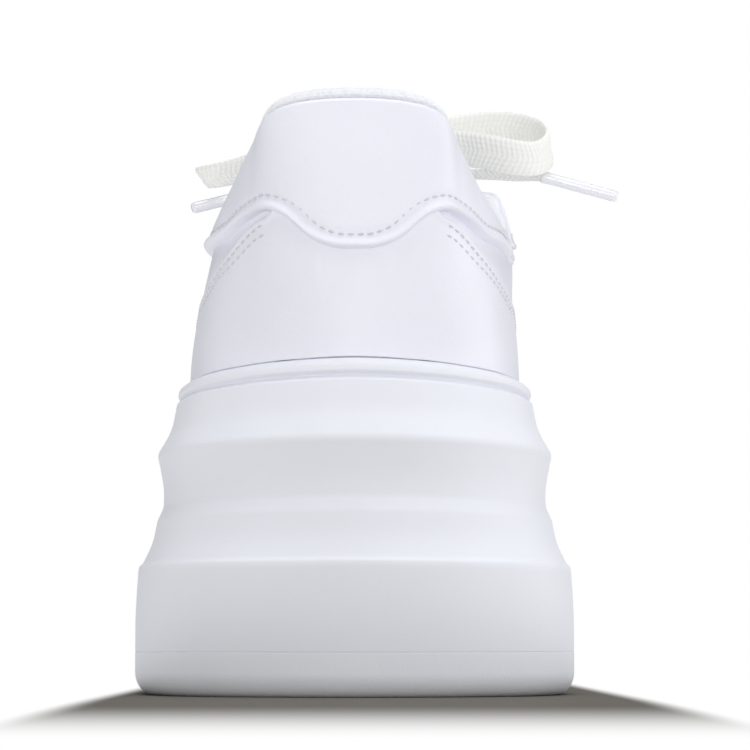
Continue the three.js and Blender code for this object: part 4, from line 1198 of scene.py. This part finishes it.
def make_tongue():
    top = tongue_over(TONGUE_TOP, 1)
    slope = np.array([0, -math.cos(TONGUE_SLOPE), math.sin(TONGUE_SLOPE)])
    rows = []
    for rise, narrow in TONGUE_END:
        risen = top + slope * TONGUE_RISE * rise / math.sin(TONGUE_SLOPE)
        risen[:, 0] = lerp(top[4, 0], risen[:, 0], narrow)
        rows.append(risen)
    rows.append(top)
    shares = [1] * len(rows)
    for i in range(1, 7):
        shares.append(lerp(1, TONGUE_FOOT, i / 6))
        rows.append(tongue_over(lerp(TONGUE_TOP, THROAT_FOOT, i / 6), shares[-1]))
    tuck = np.array([0, math.cos(TUCK_SLOPE), -math.sin(TUCK_SLOPE)])
    rows.append(rows[-1] + tuck * TONGUE_TUCK)
    shares.append(TONGUE_FOOT)
    steps, lanes = TONGUE_STEPS, TONGUE_LANES
    along = smooth_line(np.array(rows).reshape(len(rows), -1), steps).reshape(steps, 9, 3)
    across = np.array([smooth_line(row, lanes) for row in along])
    thick = np.interp(np.linspace(0, len(shares) - 1, steps), range(len(shares)), shares)
    thick = (thick * TONGUE_THICKNESS)[:, None]
    centre = lanes // 2
    run = run_of(across[:, centre])
    middle = across[:, centre:centre + 1, 0:1]
    narrowing = edge_round(run, TONGUE_TIP_ROUND) * 0.42 + 0.58
    across[:, :, 0:1] = middle + (across[:, :, 0:1] - middle) * narrowing[:, None, None]
    v = np.abs(np.linspace(-1, 1, lanes))
    side_rim, tip_rim = TONGUE_RIM
    edge = edge_round((1 - v) * TONGUE_HALF, side_rim) * edge_round(run, tip_rim)[:, None]
    seam_place, seam_width, seam_depth = TONGUE_SEAM
    seam = seam_depth * bell(run, seam_place, seam_width)[:, None]
    depth = thick * edge
    top_side = across + UP * (-(thick - depth) * 0.5 - seam * edge)[..., None]
    low_side = across - UP * ((thick + depth) * 0.5)[..., None]
    tongue = build("tongue_padded", *panel_solid(top_side, low_side), LEATHER, "upper", ["tongue"])


# ---- laces

def lay_weave(obj, run, across):
    """Lays the weave on a lace: how far along it and how far across it each point lies."""
    layer = obj.data.uv_layers.new(name="lace")
    corner = np.zeros(len(obj.data.loops), int)
    obj.data.loops.foreach_get("vertex_index", corner)
    layer.data.foreach_set("uv", np.stack([run[corner], across[corner]], -1).ravel())


def ribbon(name, centres, across, width, thickness, replaced):
    """A flat woven lace along centres; across is the direction over its width at each."""
    heading = unit(np.gradient(centres, axis=0))
    wide = unit(across - heading * np.sum(across * heading, -1, keepdims=True))
    thick = np.cross(heading, wide)
    cos, sin = circle(RIBBON_SIDES)
    w = np.sign(cos) * np.abs(cos) ** 0.55
    t = np.sign(sin) * np.abs(sin) ** 0.7
    swell = 1 - 0.16 * bell(w, 0, 0.16) - 0.25 * np.abs(w) ** 6
    width = np.broadcast_to(width, len(centres))[:, None, None]
    thickness = np.broadcast_to(thickness, len(centres))[:, None, None]
    sections = (
        centres[:, None]
        + wide[:, None] * w * width / 2
        + thick[:, None] * (t * swell) * thickness / 2
    )
    obj = build(name, *tube_solid(sections), LACE, "laces", [replaced])
    lay_weave(obj, np.repeat(run_of(centres), RIBBON_SIDES), np.tile(w[:, 0], len(centres)))
    return obj


def knot_point():
    shift = instep_shift(KNOT["ahead"] / SOLE_LENGTH)
    return np.array([shift - MIDDLE[0], KNOT["ahead"] - MIDDLE[1], KNOT["up"]])


def route(rows, roots):
    """Evenly spaced centres of a route, and the directions across it. roots are the places in
    the knot where it starts and, for a loop, ends."""
    rows = np.array(rows, float)
    rolls = (rows[0, 3:], rows[-1, 3:])
    rooted = [np.concatenate([root, roll]) for root, roll in zip(roots, rolls)]
    rows = np.vstack([rooted[0], rows, *rooted[1:]])
    fine = smooth_line(rows, 20 * len(rows))
    fine[:, :3] += knot_point()
    even, run = resample(fine, LACE_STEP)
    centres, roll = even[:, :3], np.radians(even[:, 3])
    heading = unit(np.gradient(centres, axis=0))
    upright = unit(UP - heading * heading[:, 2:3])
    across = upright * np.cos(roll)[:, None] + np.cross(heading, upright) * np.sin(roll)[:, None]
    return centres, across, run[-1]


def eyelet(side, pair):
    """The eyelet's u, its point and the direction out of it."""
    top, foot = THROAT_TOP + EYELET_MARGIN_TOP, THROAT_FOOT - EYELET_MARGIN_FOOT
    base = lerp(top, foot, pair / (EYELET_PAIRS - 1))
    u = base if side < 0 else 2 - base
    height = height_below(u, EYELET_SETBACK)
    return u, skin(u, height, 0), normal(u, height)


def through(hole, out):
    """A lace's first two points and facings: beneath an eyelet, and in its mouth."""
    return [(hole - out * HOLE_DEPTH, out), (hole + out * HOLE_MOUTH, out)]


def crossing_path(side, pair, over):
    """From beneath an eyelet, up through it, over the tongue and under the other eyestay, as
    rows of a point and the direction that the lace faces."""
    start_u, start, start_out = eyelet(side, pair)
    end_u, end, end_out = eyelet(-side, pair - 1)

    def place(toward, share):
        base = lerp(base_of(start_u), base_of(end_u), share)
        return base if toward < 0 else 2 - base

    near, far = place(side, CROSSING_BENDS[0]), place(-side, CROSSING_BENDS[1])
    hem, deep = height_below(near, CROSSING_HEM), height_below(far, CROSSING_TUCK)
    stay = skin(near, hem, LACE_LIFT)
    brink = skin(near, 1.0, LACE_LIFT + BRINK_LIFT)
    far_brink = skin(far, 1.0, -BRINK_SINK)
    spots = [
        *through(start, start_out),
        (start * 0.82 + stay * 0.18 + start_out * LACE_LIFT, start_out),
        (stay, normal(near, hem)),
        (brink, normal(near, 1.0)),
        ((brink + far_brink) / 2 + UP * (HIGH_CROSSING if over else LOW_CROSSING), UP),
        (far_brink, normal(far, 1.0)),
        (skin(far, deep, -WALL - TUCK_SINK), normal(far, deep)),
        (end - end_out * CROSSING_END, end_out),
    ]
    return np.array(spots).reshape(-1, 6)


def foot_bar():
    """The straight bar between the last pair of eyelets, as rows like a crossing's."""
    halves = []
    for side in (-1, 1):
        u, hole, out = eyelet(side, EYELET_PAIRS - 1)
        over_stay = skin(u, height_below(u, 5.5), LACE_LIFT - 0.2)
        halves.append([*through(hole, out), (over_stay, out),
                       (skin(u, 1.0, LACE_LIFT), normal(u, 1.0))])
    outer, inner = halves
    middle = (outer[-1][0] + inner[-1][0]) / 2 + UP * BAR_RISE
    return np.array([*outer, (middle, UP), *inner[::-1]]).reshape(-1, 6)


def make_crossings():
    """The lace between the eyelets."""
    paths = [crossing_path(side, pair, over=(pair + (side > 0)) % 2 == 0)
             for pair in range(EYELET_PAIRS - 1, 0, -1) for side in (-1, 1)]
    for number, path in enumerate([*paths, foot_bar()]):
        even, _ = resample(smooth_line(path, 160), LACE_STEP)
        centres, out = even[:, :3], unit(even[:, 3:])
        across = np.cross(out, unit(np.gradient(centres, axis=0)))
        for i in range(1, len(across)):
            if np.linalg.norm(across[i]) < 0.3:
                across[i] = across[i - 1]
        ribbon(f"lace_crossing_{number}", centres, across, BAR_WIDTH, LACE_THICKNESS, "lace_bars")


def make_aglet(name, tip, heading, node):
    """A clear crimped tube on a lace's end."""
    side = unit(np.cross(heading, UP))
    up = np.cross(side, heading)
    cos, sin = circle(24)
    sections = np.array([
        tip + heading * (3 * GAP + run)
        + AGLET_RADIUS * scale * (cos * side * 1.06 + sin * up * 0.94)
        for run, scale in AGLET_STATIONS
    ])
    return build(name, *tube_solid(sections), FILM, "aglets", [node], sharp=50)


def make_bow():
    jobs = {
        "inner": (1, INNER_LOOP, INNER_END, INNER_AGLET_HEADING, 0.06),
        "outer": (-1, OUTER_LOOP, OUTER_END, OUTER_AGLET_HEADING, 0.3),
    }
    made_knot = make_knot()
    for side, (sign, loop_rows, end_rows, heading, tight) in jobs.items():
        centres, across, length = route(loop_rows, [(sign * 3.2, 0.0, 0.4), (sign * 3.2, 2.6, 2.0)])
        pinch = bell(np.linspace(0, 1, len(centres)), *LOOP_TURN)
        loop = ribbon(f"bow_loop_{side}", centres, across, LACE_WIDTH * (1 - tight * pinch),
                      LACE_THICKNESS, f"lace_loop_{side}")
        centres, across, length = route(end_rows, [(-sign * 1.4, 1.6, -2.4)])
        heading = unit(np.array(heading, float))
        aglet = make_aglet(f"aglet_{side}_film", centres[-1], heading, f"aglet_{side}")
        into = np.arange(LACE_STEP, AGLET_LENGTH + 2 * GAP, LACE_STEP)
        centres = np.vstack([centres, centres[-1] + heading * into[:, None]])
        across = np.vstack([across, np.repeat(across[-1:], len(into), 0)])
        length += into[-1]
        rolled = smoothstep(length - AGLET_LENGTH - ROLLED_REACH, length - AGLET_LENGTH,
                            np.linspace(0, length, len(centres)))
        end = ribbon(f"bow_end_{side}", centres, across, lerp(LACE_WIDTH, ROLLED_SIZE[0], rolled),
                     lerp(LACE_THICKNESS, ROLLED_SIZE[1], rolled), f"lace_end_{side}")


def make_knot():
    """The knot: a flat band wrapped once round the crossing of the lace."""
    knot = knot_point()
    turns = np.linspace(0, 2 * math.pi, KNOT_STEPS, endpoint=False)
    half_depth, half_height = KNOT["depth"] / 2, KNOT["height"] / 2
    lanes = np.linspace(-1, 1, KNOT_LANES)
    rows = []
    for v in lanes:
        pinch = 1 - KNOT_PINCH * abs(v) ** 2.6
        x = knot[0] + v * KNOT["width"] / 2
        ridge = 1 + 0.035 * np.sin(3 * turns + 2.2 * v) + 0.05 * math.cos(v * 6)
        rows.append(np.stack([
            np.full_like(turns, x) + KNOT_LEAN * np.sin(turns),
            knot[1] + half_depth * pinch * ridge * np.cos(turns),
            knot[2] + half_height * pinch * ridge * np.sin(turns),
        ], -1))
    obj = build("bow_knot", *tube_solid(np.array(rows)), LACE, "laces", ["lace_knot"], sharp=80)
    run = np.arange(KNOT_STEPS) / KNOT_STEPS * KNOT_WRAP
    lay_weave(obj, np.tile(run, KNOT_LANES), np.repeat(lanes, KNOT_STEPS))
    return obj


def drill(obj):
    """Cuts the lace holes through a piece of the upper."""
    cos, sin = circle(28)
    pins = []
    for side in (-1, 1):
        for pair in range(EYELET_PAIRS):
            _, centre, out = eyelet(side, pair)
            right = unit(np.cross(out, [0, 1.0, 0]))
            ring = EYELET_RADIUS * (cos * right + sin * np.cross(right, out))
            pins.append(tube_solid(np.array([centre + ring - out * PIN_REACH,
                                             centre + ring + out * PIN_REACH])))
    cut(obj, joined(pins))


# ---- camera, light and floor

def make_camera():
    data = bpy.data.cameras.new("camera")
    data.sensor_width = 36
    data.lens = data.sensor_width * FOCAL_PIXELS / FRAME_PIXELS
    data.clip_start = 0.01
    camera = add_object("camera", data)
    camera.location = Vector(CAMERA_PLACE) * MM
    camera.rotation_euler = (math.radians(90 + CAMERA_PITCH), 0, math.radians(CAMERA_YAW))
    bpy.context.scene.camera = camera


def make_floor():
    """A floor with a painted shadow: it is coloured dark under the shoe, and grows as white as the
    background around it.
    """
    # painted shadow: this dark brown-grey is the shoe's contact shadow, painted into the floor's
    # own colour
    material, tree, shader = finish("floor_painted_shadow", (0.13, 0.12, 0.1), 0.7, 0.1)
    half_size = (HEEL_WIDTH / 2 * MM, SOLE_LENGTH / 2 * MM, 0)
    beyond = vector_node(tree, "SUBTRACT", vector_node(tree, "ABSOLUTE", object_place(tree)),
                         half_size)
    clear = vector_node(tree, "MAXIMUM", beyond, (0, 0, 0))
    uneven = vector_node(tree, "MULTIPLY", clear, (SIDE_FADE, 1, 0))
    fade = put(tree.nodes.new("ShaderNodeMapRange"), {
        "From Min": FLOOR_FADE[0], "From Max": FLOOR_FADE[1],
    })
    fade.interpolation_type = "SMOOTHSTEP"
    tree.links.new(vector_node(tree, "LENGTH", uneven, output="Value"), fade.inputs["Value"])
    glow = put(tree.nodes.new("ShaderNodeEmission"), {"Color": (1, 1, 1, 1), "Strength": 1.0})
    mix = tree.nodes.new("ShaderNodeMixShader")
    tree.links.new(fade.outputs["Result"], mix.inputs["Fac"])
    tree.links.new(shader.outputs["BSDF"], mix.inputs[1])
    tree.links.new(glow.outputs["Emission"], mix.inputs[2])
    tree.links.new(mix.outputs["Shader"], tree.nodes["Material Output"].inputs["Surface"])
    reach = FLOOR_REACH
    corners = [(-reach, -reach, 0), (reach, -reach, 0), (reach, reach, 0), (-reach, reach, 0)]
    floor = add_object("floor", new_mesh("floor", corners, [(0, 1, 2, 3)]))
    floor.data.materials.append(material)


def make_room():
    """A white background, which lights the shoe less than it shows, and four lamps."""
    world = bpy.data.worlds.new("studio")
    world.use_nodes = True
    tree = world.node_tree
    seen = put(tree.nodes.new("ShaderNodeMapRange"), {"To Min": ROOM_LIGHT, "To Max": 1.0})
    ray = tree.nodes.new("ShaderNodeLightPath").outputs["Is Camera Ray"]
    tree.links.new(ray, seen.inputs["Value"])
    background = put(tree.nodes["Background"], {"Color": (1, 1, 1, 1)})
    tree.links.new(seen.outputs["Result"], background.inputs["Strength"])
    bpy.context.scene.world = world
    for name, place, target, size, power, color in LAMPS:
        data = bpy.data.lights.new(name, "AREA")
        data.size = size
        data.energy = power
        data.color = color
        light = add_object(name, data)
        light.location = place
        aim = Vector(target) - Vector(place)
        light.rotation_euler = aim.to_track_quat("-Z", "Y").to_euler()
    bpy.context.scene.view_settings.view_transform = "Standard"


make_camera()
make_floor()
make_room()
make_bow()
make_midsole()
make_outsole()
make_insole()
for piece in (make_leather(), make_lining(), make_panels()):
    drill(piece)
make_stitches()
make_tongue()
make_crossings()
